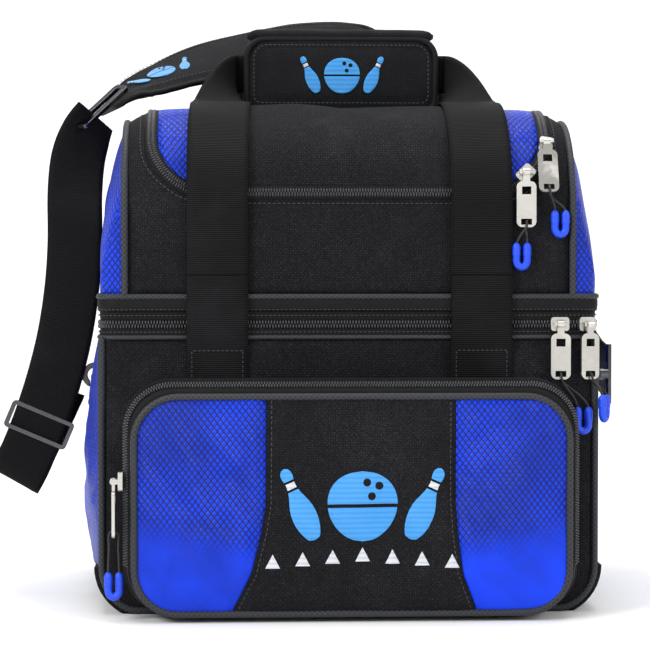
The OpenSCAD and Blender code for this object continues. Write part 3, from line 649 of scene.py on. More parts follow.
ZIP_PLACES = {
    "main": ((137.5, -118.5, SPLIT), 0.0, 0.0),
    "corner": (
        (
            HALF_W - PLAN_ROUND + 12.5 * math.sin(math.radians(20)),
            -HALF_D + PLAN_ROUND - 12.5 * math.cos(math.radians(20)),
            SPLIT,
        ),
        20.0,
        0.0,
    ),
    "flap": on_front_edge(115.0, 14.0),
    "side_flap": on_front_edge(129.3, 33.0),
    "pocket": ((-146.3, -148.0, 90.0), -90.0, 0.0),
}
LOOPS = {
    "main": [
        (11.5, 1, -56), (11.3, 0.8, -54), (9.8, 0, -50), (7, -1.2, -45.6), (3.6, -2.4, -41.4),
        (1.2, -3.1, -38), (0.2, -3.2, -35), (0, -2.2, -32.7), (0, 0, -31.8), (0, 2.2, -32.7),
        (0.4, 3.2, -35), (2.6, 3.1, -38.4), (7, 2.4, -42), (12, 1.7, -46), (16.6, 1.2, -50.6),
        (18.4, 1, -54), (18.5, 1, -56),
    ],
    "corner": [
        (5.3, -7.2, -48), (5.2, -7, -46), (4.4, -6.2, -43), (3, -5, -40), (1.2, -3.8, -37.4),
        (0.2, -3.2, -35), (0, -2.2, -32.7), (0, 0, -31.8), (0, 2.2, -32.7), (0.6, 3, -35),
        (2.6, 1.8, -37.4), (5.4, 0, -40), (8.4, -1.8, -42.6), (10.6, -2.8, -45.6), (10.7, -2.8, -48),
    ],
    "flap": [
        (-6.5, 0, -48), (-6.3, -0.2, -46.4), (-5, -1.4, -43), (-3, -2.6, -39.6), (-1, -3.2, -37),
        (-0.1, -3.2, -35), (0, -2.2, -32.7), (0, 0, -31.8), (0, 2.2, -32.7), (0, 3, -35), (0.2, 2.8, -38),
        (0.6, 2, -41.4), (0.6, 0.8, -44.8), (0.5, 0, -48),
    ],
    "side_flap": [
        (4.5, -8, -47), (4.5, -8.6, -45), (3.6, -10.6, -41.6), (2, -13.2, -38), (0.6, -15.4, -34.6),
        (0.1, -16.1, -31.6), (0, -14.4, -29.5), (0, -11.9, -29.5), (0, -10.2, -31.2), (0.4, -10, -33.8),
        (2.4, -9.6, -36.8), (5.4, -9, -39.4), (8.8, -8.5, -42), (11.2, -8.1, -44.8), (11.5, -8, -47),
    ],
    "pocket": [
        (0, -3.5, -60), (0, -3.5, -56), (0, -3.3, -50), (0, -3, -44), (0, -3.1, -39), (0, -3.2, -35),
        (0, -2.2, -32.7), (0, 0, -31.8), (0, 2.2, -32.7), (0, 3.2, -35), (0, 3.1, -39), (0, 3, -44),
        (0, 3.3, -50), (0, 3.5, -56), (0, 3.5, -60),
    ],
}
END_PLACES = {
    "main": ((15, 1, -56), 0), "corner": ((8, -5, -48), 40), "flap": ((-3, 0, -48), 0),
    "side_flap": ((8, -8, -47), 0), "pocket": ((0, 0, -60), 90),
}


def crossbar_frame(zip_name):
    """Frame at a slider's crossbar, upright, facing the way the slider faces."""
    place, turn, lean = ZIP_PLACES[zip_name]
    lean = math.radians(lean)
    return (
        Matrix.Translation(place)
        @ Matrix.Rotation(math.radians(turn), 4, "Z")
        @ Matrix.Translation((0, -BAR_OUT * math.cos(lean), BAR_OUT * math.sin(lean)))
    )


def rubber_end(zip_name):
    """Soft U-shaped end moulded over both cord legs, ribbed across its grip."""
    place, turn = END_PLACES[zip_name]
    at = crossbar_frame(zip_name) @ Matrix.Translation(place) @ Matrix.Rotation(math.radians(turn), 4, "Z")
    arch = []
    for k in range(25):
        t = k / 24
        if t < 0.3:
            x, z = -3.5, -0.3 - 9.2 * t / 0.3
        elif t > 0.7:
            x, z = 3.5, -0.3 - 9.2 * (1 - t) / 0.3
        else:
            a = math.pi * (t - 0.3) / 0.4
            x, z = -3.5 * math.cos(a), -9.5 - 4.4 * math.sin(a)
        arch.append(at @ Vector((x, 0, z)))
    axis = (at.to_3x3() @ Vector((0, 1, 0))).normalized()
    body = tube_piece(zip_name + "_end_arch", even_path(arch, 0.8), 2.45, RUBBER, 14, up=axis)
    parts = [body]
    for side in (-1, 1):
        for k in range(3):
            ring = [at @ Vector((side * 3.5, 0, -1.2 - 1.9 * k - d)) for d in (0.0, 0.35, 0.7)]
            parts.append(tube_piece("rib", ring, 2.75, RUBBER, 14, up=axis))
    return join(zip_name + "_rubber_end_soft", parts)


for zip_name, loop in LOOPS.items():
    at = crossbar_frame(zip_name)
    route = even_path(smooth_path([at @ Vector(p) for p in loop], 8), 0.7)
    cord_piece = tube_piece(zip_name + "_pull_cord", route, 0.78, CORD, 10)
    length = sum((b - a).length for a, b in zip(route, route[1:])) * MM
    end_piece = rubber_end(zip_name)
    body = zip_name + "_zip_pull"
    for piece, node, slot in ((cord_piece, "_cord", "cord"), (end_piece, "_rubber_end", "blue_rubber")):
        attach(piece, body)
        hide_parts(zip_name + node)
    [c * MM for c in route[0]]
    [[c * MM for c in p] for p in route]


# ---------- rows of teeth and stitches ----------


def make_bead_row_tree():
    """Sets a rounded bead on every point, turned along that point's direction."""
    tree = bpy.data.node_groups.new("beads_on_points", "GeometryNodeTree")
    face = tree.interface
    face.new_socket("Geometry", in_out="INPUT", socket_type="NodeSocketGeometry")
    for label in ("Bead length", "Bead width", "Bead height"):
        face.new_socket(label, in_out="INPUT", socket_type="NodeSocketFloat")
    face.new_socket("Finish", in_out="INPUT", socket_type="NodeSocketMaterial")
    face.new_socket("Geometry", in_out="OUTPUT", socket_type="NodeSocketGeometry")
    w = Wiring(tree)
    given, out = w.add("NodeGroupInput").outputs, w.add("NodeGroupOutput").inputs
    ball = w.add("GeometryNodeMeshUVSphere")
    ball.inputs["Segments"].default_value = 8
    ball.inputs["Rings"].default_value = 5
    ball.inputs["Radius"].default_value = 0.5
    size = w.add("ShaderNodeCombineXYZ")
    w.put(size.inputs[0], given["Bead width"])
    w.put(size.inputs[1], given["Bead height"])
    w.put(size.inputs[2], given["Bead length"])
    shaped = w.add("GeometryNodeTransform")
    w.put(shaped.inputs["Geometry"], ball.outputs["Mesh"])
    w.put(shaped.inputs["Scale"], size.outputs[0])
    run = w.add("GeometryNodeInputNamedAttribute", data_type="FLOAT_VECTOR")
    run.inputs["Name"].default_value = "run"
    facing = w.add("GeometryNodeInputNamedAttribute", data_type="FLOAT_VECTOR")
    facing.inputs["Name"].default_value = "facing"
    turned = w.add("FunctionNodeAxesToRotation", primary_axis="Z", secondary_axis="Y")
    w.put(turned.inputs[0], run.outputs[0])
    w.put(turned.inputs[1], facing.outputs[0])
    placed = w.add("GeometryNodeInstanceOnPoints")
    w.put(placed.inputs["Points"], given["Geometry"])
    w.put(placed.inputs["Instance"], shaped.outputs["Geometry"])
    w.put(placed.inputs["Rotation"], turned.outputs[0])
    real = w.add("GeometryNodeRealizeInstances")
    w.put(real.inputs["Geometry"], placed.outputs["Instances"])
    smooth = w.add("GeometryNodeSetShadeSmooth")
    w.put(smooth.inputs["Geometry"], real.outputs["Geometry"])
    finish = w.add("GeometryNodeSetMaterial")
    w.put(finish.inputs["Geometry"], smooth.outputs["Geometry"])
    w.put(finish.inputs["Material"], given["Finish"])
    w.put(out["Geometry"], finish.outputs["Geometry"])
    return tree


BEADS = make_bead_row_tree()


def bead_rows(name, rows, length, width, height, material):
    """Mesh of beads; rows are lists of (point, run, facing) in millimetres."""
    spots = [spot for row in rows for spot in row]
    mesh = bpy.data.meshes.new(name)
    mesh.from_pydata([[c * MM for c in spot[0]] for spot in spots], [], [])
    for key, label in ((1, "run"), (2, "facing")):
        layer = mesh.attributes.new(label, "FLOAT_VECTOR", "POINT")
        layer.data.foreach_set("vector", [c for spot in spots for c in spot[key]])
    piece = link(name, mesh, material)
    modifier = piece.modifiers.new("beads", "NODES")
    modifier.node_group = BEADS
    values = {"Bead length": length * MM, "Bead width": width * MM, "Bead height": height * MM, "Finish": material}
    for item in BEADS.interface.items_tree:
        if item.in_out == "INPUT" and item.name in values:
            modifier[item.identifier] = values[item.name]
    apply_modifiers(piece)
    piece.data.materials.clear()
    piece.data.materials.append(material)
    for label in ("run", "facing"):
        if label in piece.data.attributes:
            piece.data.attributes.remove(piece.data.attributes[label])
    return piece


def row_on(path, facing, shift, along=False, pitch=2.0, start=0.0):
    """Spots along a path of (point, facing) pairs; beads run along or across it."""
    points = [Vector(p) for p in path]
    lengths = np.array([0.0] + [(b - a).length for a, b in zip(points, points[1:])]).cumsum()
    at = np.arange(start + pitch / 2, lengths[-1], pitch)
    cols = [np.interp(at, lengths, [p[k] for p in points]) for k in range(3)]
    outs = [np.interp(at, lengths, [Vector(f)[k] for f in facing]) for k in range(3)]
    spots = []
    for i in range(len(at)):
        p = Vector([c[i] for c in cols])
        out = Vector([c[i] for c in outs]).normalized()
        j, k = min(i + 1, len(at) - 1), max(i - 1, 0)
        head = (Vector([c[j] for c in cols]) - Vector([c[k] for c in cols])).normalized()
        across = out.cross(head).normalized()
        spots.append((p + across * shift, head if along else across, out))
    return spots


def teeth(name, path, facing, side, pitch=1.9):
    """One half of a coil zip: beads across the path, on one side of its middle."""
    row = row_on(path, facing, side * 1.25, pitch=pitch, start=0.0 if side > 0 else pitch / 2)
    return bead_rows(name, [row], 3.1, 1.3, 2.1, COIL)


def stitches(name, paths, body, pitch, length):
    """Rows of sewn stitches; each path is (points, facing)."""
    rows = [row_on(points, facing, 0.0, along=True, pitch=pitch) for points, facing in paths]
    piece = bead_rows(name, rows, length, 0.75, 0.55, THREAD)
    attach(piece, body)


def tape_between(name, one, two, material, thick, across, crown, facing):
    """Strip of tape between two lines with the same number of points."""
    rows = []
    for a, b, out in zip(one, two, facing):
        rows.append([a.lerp(b, k / across) + out * crown * math.sin(math.pi * k / across) for k in range(across + 1)])
    uv, run = [], 0.0
    for i, row in enumerate(rows):
        if i:
            run += (row[0] - rows[i - 1][0]).length
        uv += [((row[0] - p).length * MM, run * MM) for p in row]
    piece = grid_piece(name, rows, material, uv=uv)
    with editing(piece.data) as bm:
        bm.faces.ensure_lookup_table()
        middle = bm.faces[len(bm.faces) // 2]
        middle.normal_update()
        if middle.normal.dot(Vector(facing[len(facing) // 2])) < 0:
            bmesh.ops.reverse_faces(bm, faces=bm.faces)
    return thicken(piece, thick)


# ---------- ball compartment ----------


def ripple(x, y, z, size, depth):
    """Soft uneven folds, the same on every run."""
    return depth * field.noise(Vector((x / size + 7.3, y / size + 1.9, z / size * 0.7 + 4.1)))


def plan_line(grow, z):
    """Line round the bag from the back left to the back right, with its facing."""
    hw, hd, r, step = HALF_W + grow, HALF_D + grow, PLAN_ROUND + grow, 4.0
    line, out = [], []

    def add(x, y, nx, ny):
        line.append(vec(x, y, z))
        out.append(vec(nx, ny, 0))

    def add_corner(side, angles):
        for a in angles:
            c, s = math.cos(math.radians(a)), math.sin(math.radians(a))
            add(side * (hw - r + r * c), -hd + r - r * s, side * c, -s)

    straight = np.arange(112.0, -hd + r, -step)
    for y in straight:
        add(-hw, y, -1, 0)
    add_corner(-1, np.linspace(0, 90, 9))
    for x in np.arange(-hw + r + step, hw - r, step):
        add(x, -hd, 0, -1)
    add_corner(1, np.linspace(90, 0, 9))
    for y in reversed(straight):
        add(hw, y, 1, 0)
    return line, out


def outline_half(z, half, r, low=0.0, high=None):
    """Half width at a height of an outline with rounded lower, and upper, corners."""
    if z < low + r:
        return half - r + math.sqrt(max(0.0, r * r - (low + r - z) ** 2))
    if high is not None and z > high - r:
        return half - r + math.sqrt(max(0.0, r * r - (z - high + r) ** 2))
    return half


def corner_rows(low, r, high=None, step=7.0, total=None):
    """Heights of rows, closer together round the corners."""
    rows = [low + r * (1 - math.cos(math.radians(a))) for a in range(0, 85, 12)]
    top = (high - r) if high is not None else total
    rows += list(np.linspace(low + r, top, max(3, int((top - low - r) / step))))
    if high is not None:
        rows += [high - low + low - r * (1 - math.cos(math.radians(a))) for a in range(84, -1, -12)]
    return rows


def end_panel(name, front):
    """Front or back panel of the ball compartment, softly filled."""
    top = LOWER_TOP if front else SPLIT - 0.3
    sign = -1 if front else 1
    rows = []
    for z in corner_rows(0.0, FOOT_ROUND, None, 7.0, top):
        half = outline_half(z, HALF_W, FOOT_ROUND)
        row = []
        for k in range(45):
            u = k / 44 * 2 - 1
            x = half * (0.6 * u + 0.4 * math.sin(u * math.pi / 2))
            edge = max(0.0, abs(x) - (half - 7)) / 7
            turn = 7 * (1 - math.sqrt(max(0.0, 1 - edge * edge)))
            foot = max(0.0, 9 - z) / 9
            turn += 5 * (1 - math.sqrt(max(0.0, 1 - foot * foot)))
            swell = 2.2 * (1 - (x / half) ** 2) * math.sin(math.pi * min(1, z / 190)) if half else 0
            soft = min(1.0, (half - abs(x)) / 25) * min(1.0, z / 25) * min(1.0, (top - z) / 12)
            y = sign * (HALF_D - turn + (swell + ripple(x, 0, z, 46, 2.8) + ripple(x + z, 3, z, 21, 0.9)) * soft)
            row.append((x, y, z))
        rows.append(row)
    piece = grid_piece(name, rows, BLACK_CLOTH, flip=not front)
    return thicken(piece, 4.5, LINING)


def gusset_side(name, side):
    """Blue side panel: it swells between its seams and creases near the tab."""
    swell = 15.0 if side < 0 else 5.0
    rows = []
    for z in np.linspace(FOOT_ROUND, LOWER_TOP, 34):
        row = []
        for y in np.linspace(-SIDE_HALF, SIDE_HALF, 44):
            t = abs(y) / SIDE_HALF
            body = (1 - t**3) * math.sin(math.pi * (z + 10) / 205)
            tab = math.exp(-((y / 34) ** 4)) * max(0.0, min(1.0, (z - 78) / 20))
            x = HALF_W + body * (swell * (1 - 0.92 * tab))
            x += (ripple(3 * side, y, z, 26, 3.2) + ripple(y + z, 2 * side, z, 13, 1.1)) * body * (1 - tab)
            edge = max(0.0, abs(y) - 105) / 9
            x -= 3.2 * edge * edge
            row.append((side * x, y, z))
        rows.append(row)
    piece = grid_piece(name, rows, BLUE_SIDE, flip=side < 0)
    return thicken(piece, 4.0, LINING)


def gusset_base():
    """Bottom of the gusset from one side seam round to the other."""
    r = FOOT_ROUND
    outline = [(-HALF_W, r)]
    outline += [(-HALF_W + r - r * math.cos(a), r - r * math.sin(a)) for a in np.linspace(0.1, math.pi / 2, 12)]
    outline += [(x, 0.0) for x in np.linspace(-120, 120, 31)]
    outline += [(HALF_W - r + r * math.sin(a), r - r * math.cos(a)) for a in np.linspace(0.1, math.pi / 2, 12)]
    rows = []
    for x, z in outline:
        wave = 0.0 if z > 1 else 0.5
        rows.append([(x, y, z + 0.4 + wave * (1 - math.cos(y / 9))) for y in np.linspace(-SIDE_HALF, SIDE_HALF, 40)])
    piece = grid_piece("ball_base", rows, BLACK_CLOTH, flip=True)
    return thicken(piece, 4.0, LINING)


def put(piece, body, slot, *nodes):
    """A finished piece rides on a body and stands for its CAD solids."""
    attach(piece, body)
    if nodes:
        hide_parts(*nodes)
    return piece


put(end_panel("ball_front", True), "ball_compartment", "black_fabric", "lower_front_panel")
put(end_panel("ball_back", False), "ball_compartment", "black_fabric", "lower_back_panel")
for side, side_name in ((-1, "left"), (1, "right")):
    put(gusset_side("ball_side_" + side_name, side), "ball_compartment", "blue_fabric", "lower_side_panels")
put(gusset_base(), "ball_compartment", "black_fabric", "lower_bottom_panel")


def end_seam(y):
    """Line of the piping round an end panel."""
    half, r = HALF_W - 1.3, 28.7
    line = [vec(-half, y, z) for z in np.linspace(178, 30, 30)]
    line += [vec(-half + r - r * math.cos(a), y, 30 - r * math.sin(a)) for a in np.linspace(0.1, math.pi / 2, 12)]
    line += [vec(x, y, 1.3) for x in np.linspace(-128, 128, 42)]
    line += [vec(half - r + r * math.sin(a), y, 30 - r * math.cos(a)) for a in np.linspace(0, math.pi / 2, 12)]
    line += [vec(half, y, z) for z in np.linspace(34, 178, 30)]
    return line


pipes = []
for y in (-HALF_D + 1.6, HALF_D - 1.6):
    line = [vec(p.x, p.y, max(p.z, 2.6)) for p in end_seam(y)]
    pipes.append(tube_piece("pipe", even_path(line, 4.0), 2.4, PIPING, 12, up=vec(0, 1, 0)))
put(join("lower_piping_cord", pipes), "ball_compartment", "piping", "lower_piping")

# ---------- main zip ----------

middle, facing = plan_line(0.2, SPLIT)
lower_edge, _ = plan_line(0.4, LOWER_TOP - 0.5)
lower_top, _ = plan_line(-0.4, SPLIT - 1.2)
piece = tape_between("main_tape_lower", lower_edge, lower_top, TAPE, 2.4, 4, 0.3, facing)
put(piece, "ball_compartment", "zip_tape", "main_zip_lower_tape")
upper_low, _ = plan_line(-0.4, SPLIT + 1.2)
upper_edge, _ = plan_line(0.2, 199.0)
tape_up = tape_between("tape_up", upper_low, upper_edge, TAPE, 2.4, 4, 0.3, facing)
bind_low, _ = plan_line(1.2, 197.4)
bind_high, _ = plan_line(1.2, 207.6)
binding = tape_between("binding", bind_low, bind_high, BINDING, 3.4, 5, 0.7, facing)
put(join("main_tape_upper", [tape_up, binding]), "shoe_compartment", "zip_tape", "main_zip_upper_tape")
zip_line, _ = plan_line(0.5, SPLIT)
put(teeth("main_teeth_lower", zip_line, facing, 1), "ball_compartment", "zip_tape")
put(teeth("main_teeth_upper", zip_line, facing, -1), "shoe_compartment", "zip_tape")
low_pipe, _ = plan_line(0.6, 180.6)
put(tube_piece("main_zip_piping_lower", low_pipe, 1.5, PIPING, 10), "ball_compartment", "piping")
high_pipe, _ = plan_line(0.9, 207.0)
put(tube_piece("main_zip_piping_upper", high_pipe, 1.9, PIPING, 12), "shoe_compartment", "piping")
for z, body, name, grow in (
    (184.0, "ball_compartment", "lower", 1.0),
    (194.8, "shoe_compartment", "upper", 1.0),
    (198.6, "shoe_compartment", "binding", 1.6),
):
    sew, out = plan_line(grow, z)
    stitches("main_zip_stitches_" + name, [(sew, out)], body, 2.8, 2.0)

# ---------- shoe compartment ----------

BEND_LEN = FRONT_BEND * math.pi / 2
S_BEND, S_FLAT = FRONT_FLAT, FRONT_FLAT + BEND_LEN
S_BACK = S_FLAT + 146.0
BACK_LEN = BACK_BEND * math.pi / 2
S_DOWN = S_BACK + BACK_LEN
S_END = S_DOWN + BACK_FLAT
S_HINGE = S_FLAT + HINGE_Y + 58.0


def crown_at(x):
    """Height of the top edge across the bag, where the side edges round off."""
    over = abs(x) - (HALF_W - SIDE_BEND)
    return TOP if over <= 0 else TOP - SIDE_BEND + math.sqrt(SIDE_BEND**2 - min(over, SIDE_BEND) ** 2)


def lid_point(x, s, out=0.0, with_normal=False):
    """Point on the shoe compartment's front, top and back, s millimetres up its profile."""
    drop = TOP - crown_at(x)
    calm = max(0.0, 1 - (abs(x) / 118) ** 4)
    if s < S_BEND:
        y, z, n = -HALF_D, SHOE + s * (FRONT_FLAT - drop) / FRONT_FLAT, (0, -1, 0)
    elif s < S_FLAT:
        a = (s - S_BEND) / FRONT_BEND
        n = (0, -math.cos(a), math.sin(a))
        y, z = BEND_Y + FRONT_BEND * n[1], BEND_Z - drop + FRONT_BEND * n[2]
    elif s < S_BACK:
        y, z, n = BEND_Y + (s - S_FLAT), TOP - drop, (0, 0, 1)
    elif s < S_DOWN:
        a = (s - S_BACK) / BACK_BEND
        n = (0, math.sin(a), math.cos(a))
        y, z = BACK_Y + BACK_BEND * n[1], BACK_Z - drop + BACK_BEND * n[2]
    else:
        y, z, n = HALF_D, BACK_Z - drop - (s - S_DOWN) * (BACK_FLAT - drop) / BACK_FLAT, (0, 1, 0)
    if S_BEND + 12 < s < S_HINGE - 4:
        t = (s - S_BEND - 12) / (S_HINGE - S_BEND - 16)
        soft = calm * math.sin(math.pi * t) ** 0.6
        out += soft * (2.2 + ripple(x, s, 3, 48, 3.6) + ripple(x + s, s, 5, 22, 1.0))
    elif s <= S_BEND:
        soft = calm * math.sin(math.pi * s / S_BEND) ** 0.8
        out += soft * (0.8 + ripple(x, 0, s, 40, 2.8) + ripple(x - s, 0, s, 20, 0.9))
    elif s > S_DOWN:
        out += calm * math.sin(math.pi * (s - S_DOWN) / BACK_FLAT) * (1.2 + ripple(x, 9, s, 50, 2.0))
    point = vec(x, y + n[1] * out, z + n[2] * out)
    return (point, vec(*n)) if with_normal else point


def flap_height(s):
    """Height that the flap's outline has at s, before the top rounds off sideways."""
    return SHOE + s if s < S_BEND else BEND_Z + FRONT_BEND * math.sin(min((s - S_BEND) / FRONT_BEND, math.pi / 2))


def s_at(z):
    """How far up the profile a height of the front is."""
    return z - SHOE if z < BEND_Z else S_BEND + FRONT_BEND * math.asin(min(1.0, (z - BEND_Z) / FRONT_BEND))


def flap_half(s, grow):
    z, low, r = flap_height(s), FLAP_LOW - grow, FLAP_ROUND + grow
    if s >= S_FLAT or z > low + r:
        return FLAP_HALF + grow
    return FLAP_HALF - FLAP_ROUND + math.sqrt(max(0.0, r * r - (low + r - z) ** 2))


def flap_rows(grow, end=S_HINGE, step=7.0):
    low, r = FLAP_LOW - grow, FLAP_ROUND + grow
    rows = [s_at(low + r * (1 - math.cos(math.radians(a)))) for a in range(0, 91, 10)]
    return rows + list(np.linspace(rows[-1], end, int((end - rows[-1]) / step) + 2))[1:]


def flap_line(grow, out=0.0):
    """Line round the flap from its left hinge corner to its right one, with its facing."""
    low, r, end, step = FLAP_LOW - grow, FLAP_ROUND + grow, S_HINGE - 1.5, 5.0
    round_top = s_at(low + r)
    spots = [(-(FLAP_HALF + grow), s) for s in np.linspace(end, round_top, int((end - round_top) / step) + 1)]
    for a in np.linspace(90, 0, 14)[1:]:
        a = math.radians(a)
        spots.append((-(FLAP_HALF - FLAP_ROUND + r * math.sin(a)), s_at(low + r * (1 - math.cos(a)))))
    straight = FLAP_HALF - FLAP_ROUND
    spots += [(x, s_at(low)) for x in np.linspace(-straight, straight, int(2 * straight / step))[1:-1]]
    spots += [(-x, s) for x, s in reversed(spots[: len(spots) - int(2 * straight / step) + 2])]
    pairs = [lid_point(x, s, out, True) for x, s in spots]
    return [p for p, n in pairs], [n for p, n in pairs]


def spread(a, b, count):
    return list(np.linspace(a, b, count))


def lid_strip():
    """Black front, top frame and back between the two side seams, open at the flap."""
    inner, outer = 31, 6
    rows, holes = [], set()
    front = list(np.linspace(0, s_at(FLAP_LOW - TAPE_OUT), 12))
    framed = flap_rows(TAPE_OUT)
    rear = list(np.linspace(S_HINGE, S_BACK, 5))[1:] + list(np.linspace(S_BACK, S_DOWN, 8))[1:]
    rear += list(np.linspace(S_DOWN, S_END, 15))[1:]
    for s in front[:-1]:
        rows.append((s, FLAP_HALF - FLAP_ROUND, False))
    for s in framed:
        rows.append((s, flap_half(s, TAPE_OUT), True))
    for s in rear:
        rows.append((s, FLAP_HALF + TAPE_OUT, False))
    grid = []
    for i, (s, wide, opened) in enumerate(rows):
        if opened and i + 1 < len(rows) and rows[i + 1][2]:
            holes.add(i)
        xs = spread(-SEAM_X, -wide, outer) + spread(-wide, wide, inner)[1:-1] + spread(wide, SEAM_X, outer)
        grid.append([lid_point(x, s) for x in xs])
    span = range(outer - 1, outer + inner - 2)
    piece = grid_piece("shoe_strip", grid, BLACK_CLOTH, skip=lambda i, j: i in holes and j in span)
    return thicken(piece, 4.0, LINING)


def lid_side(name, side):
    """Blue side panel of the shoe compartment, swelling from the side seam."""
    edge = [lid_point(SEAM_X, s) for s in np.linspace(0, S_DOWN + 94, 60)]
    plan = []
    for k in range(60):
        u = k / 59
        if u < 0.12:
            a = u / 0.12 * math.pi / 2
            plan.append((150.5 + 12 * math.sin(a) - 4.5 * (1 - u / 0.12), -106 - 12 * math.cos(a)))
        elif u > 0.88:
            a = (1 - u) / 0.12 * math.pi / 2
            plan.append((150.5 + 12 * math.sin(a) - 4.5 * (1 - (1 - u) / 0.12), 106 + 12 * math.cos(a)))
        else:
            plan.append((HALF_W, -106 + 212 * (u - 0.12) / 0.76))
    rows = []
    for q in np.linspace(0, 1, 26):
        row = []
        for (bx, by), top in zip(plan, edge):
            y = top.y + (by - top.y) * q
            z = top.z + (SHOE - top.z) * q
            reach = 1 - (1 - q) ** 2.4
            x = SEAM_X + (bx - SEAM_X) * reach
            calm = math.sin(math.pi * q) * (1 - (abs(y) / 119) ** 4)
            x += calm * (2.5 + ripple(5 * side, y, z, 30, 3.2))
            row.append((side * x, y, z))
        rows.append(row)
    piece = grid_piece(name, rows, BLUE_SIDE, flip=side > 0)
    merge_doubles(piece, 1e-5)
    return thicken(piece, 4.0, LINING)


put(lid_strip(), "shoe_compartment", "black_fabric", "shoe_front_panel", "shoe_back_panel", "shoe_top_frame")
for side, side_name in ((-1, "left"), (1, "right")):
    put(lid_side("shoe_side_" + side_name, side), "shoe_compartment", "blue_fabric", "shoe_side_panels")
pipes = []
for side in (-1, 1):
    line = [lid_point(side * SEAM_X, s, 0.8) for s in np.linspace(1, S_DOWN + 92, 110)]
    pipes.append(tube_piece("pipe", line, 2.3, PIPING, 12, up=vec(1, 0, 0)))
put(join("shoe_piping_cord", pipes), "shoe_compartment", "piping", "shoe_piping")

# ---------- shoe flap and its zip ----------


def flap_panel(name, part):
    """Middle or one side of the flap; part is -1, 0 or 1."""
    seam = 93.0
    grid = []
    for s in flap_rows(0.0, S_HINGE - 0.4, 6.0):
        wide = flap_half(s, 0.0)
        inner = min(seam, wide - 0.4)
        xs = spread(-inner, inner, 37) if part == 0 else spread(part * inner, part * wide, 9)
        row = []
        for x in xs:
            dip = 0.9 * math.exp(-(((abs(x) - seam) / 3.0) ** 2))
            row.append(lid_point(x, s, -dip))
        grid.append(row)
    piece = grid_piece(name, grid, BLACK_CLOTH if part == 0 else BLUE_SIDE, flip=part == -1)
    return thicken(piece, 4.0, LINING)


put(flap_panel("flap_top", 0), "shoe_flap", "black_fabric", "flap_middle")
put(join("flap_blue", [flap_panel("left", -1), flap_panel("right", 1)]), "shoe_flap", "blue_fabric", "flap_sides")
edge_line, _ = flap_line(-1.8, out=0.9)
put(tube_piece("flap_piping", even_path(edge_line, 3.0), 1.7, PIPING, 10, up=vec(0, -1, 0)), "shoe_flap", "piping")
inner_line, out = flap_line(0.2)
mid_in, _ = flap_line(3.6)
put(tape_between("flap_tape", inner_line, mid_in, TAPE, 2.2, 3, 0.2, out), "shoe_flap", "zip_tape", "flap_zip_tape")
mid_out, _ = flap_line(5.0)
outer_line, _ = flap_line(8.8)
put(
    tape_between("shoe_tape", mid_out, outer_line, TAPE, 2.2, 3, 0.2, out),
    "shoe_compartment",
    "zip_tape",
    "shoe_zip_body_tape",
)
zip_middle, out = flap_line(4.3, out=0.4)
put(teeth("flap_teeth", zip_middle, out, 1, pitch=1.8), "shoe_flap", "zip_tape")
put(teeth("shoe_teeth", zip_middle, out, -1, pitch=1.8), "shoe_compartment", "zip_tape")
sew_line, sew_out = flap_line(11.4, out=0.3)
stitches("flap_frame_stitches", [(sew_line, sew_out)], "shoe_compartment", 3.2, 2.3)

# ---------- front pocket ----------

POCKET_W, POCKET_LOW, POCKET_HIGH, POCKET_R = 292.0, 4.0, 154.0, 30.0
FACE_IN, FACE_TOP = 7.0, 10.0


def pocket_loop(inset, top_inset, y):
    """Closed line round the pocket, drawn in the same order for every inset."""
    half = POCKET_W / 2 - inset
    low, high = POCKET_LOW + min(inset, 1.5), POCKET_HIGH - top_inset
    r = POCKET_R - inset * 0.3
    line, out = [], []

    def corner(cx, cz, start):
        for a in range(0, 91, 9):
            t = math.radians(start + a)
            line.append(vec(cx + r * math.cos(t), y, cz + r * math.sin(t)))
            out.append(vec(math.cos(t), 0, math.sin(t)))

    def straight(a, b, normal, count):
        for k in range(1, count):
            line.append(vec(*a).lerp(vec(*b), k / count))
            out.append(vec(*normal))

    corner(half - r, low + r, -90)
    straight((half, y, low + r), (half, y, high - r), (1, 0, 0), 20)
    corner(half - r, high - r, 0)
    straight((half - r, y, high), (-half + r, y, high), (0, 0, 1), 48)
    corner(-half + r, high - r, 90)
    straight((-half, y, high - r), (-half, y, low + r), (-1, 0, 0), 20)
    corner(-half + r, low + r, 180)
    straight((-half + r, y, low), (half - r, y, low), (0, 0, -1), 48)
    return line, out


def loop_wall(name, levels, material, thick=1.6):
    """Closed wall through loops given as (inset, top inset, y, swell)."""
    rows = []
    for inset, top_inset, y, swell in levels:
        line, out = pocket_loop(inset, top_inset, y)
        rows.append([p + n * swell for p, n in zip(line, out)])
    piece = grid_piece(name, rows, material, wrap=True)
    return thicken(piece, thick, LINING)


wall = loop_wall(
    "pocket_wall",
    [(0, 0, -117.5, 0), (0, 0, -122, 0.4), (0, 0, -130, 0.9), (0, 0, -138, 0.8), (0, 0, -143.6, 0.1)],
    BLACK_CLOTH,
    3.0,
)
put(wall, "ball_compartment", "black_fabric", "pocket_gusset")
put(
    loop_wall("pocket_tape_rear", [(0.3, 0.3, -143.2, 0), (0.6, 0.9, -145.4, 0.1), (1.2, 1.9, -147.3, 0)], TAPE, 1.8),
    "ball_compartment",
    "zip_tape",
    "pocket_zip_body_tape",
)
put(
    loop_wall(
        "pocket_tape_front",
        [(1.9, 2.9, -148.4, 0), (3.6, 5.2, -150.4, 0.4), (FACE_IN - 0.6, FACE_TOP - 0.8, -153.6, 0)],
        TAPE,
        1.8,
    ),
    "pocket_door",
    "zip_tape",
    "pocket_zip_door_tape",
)


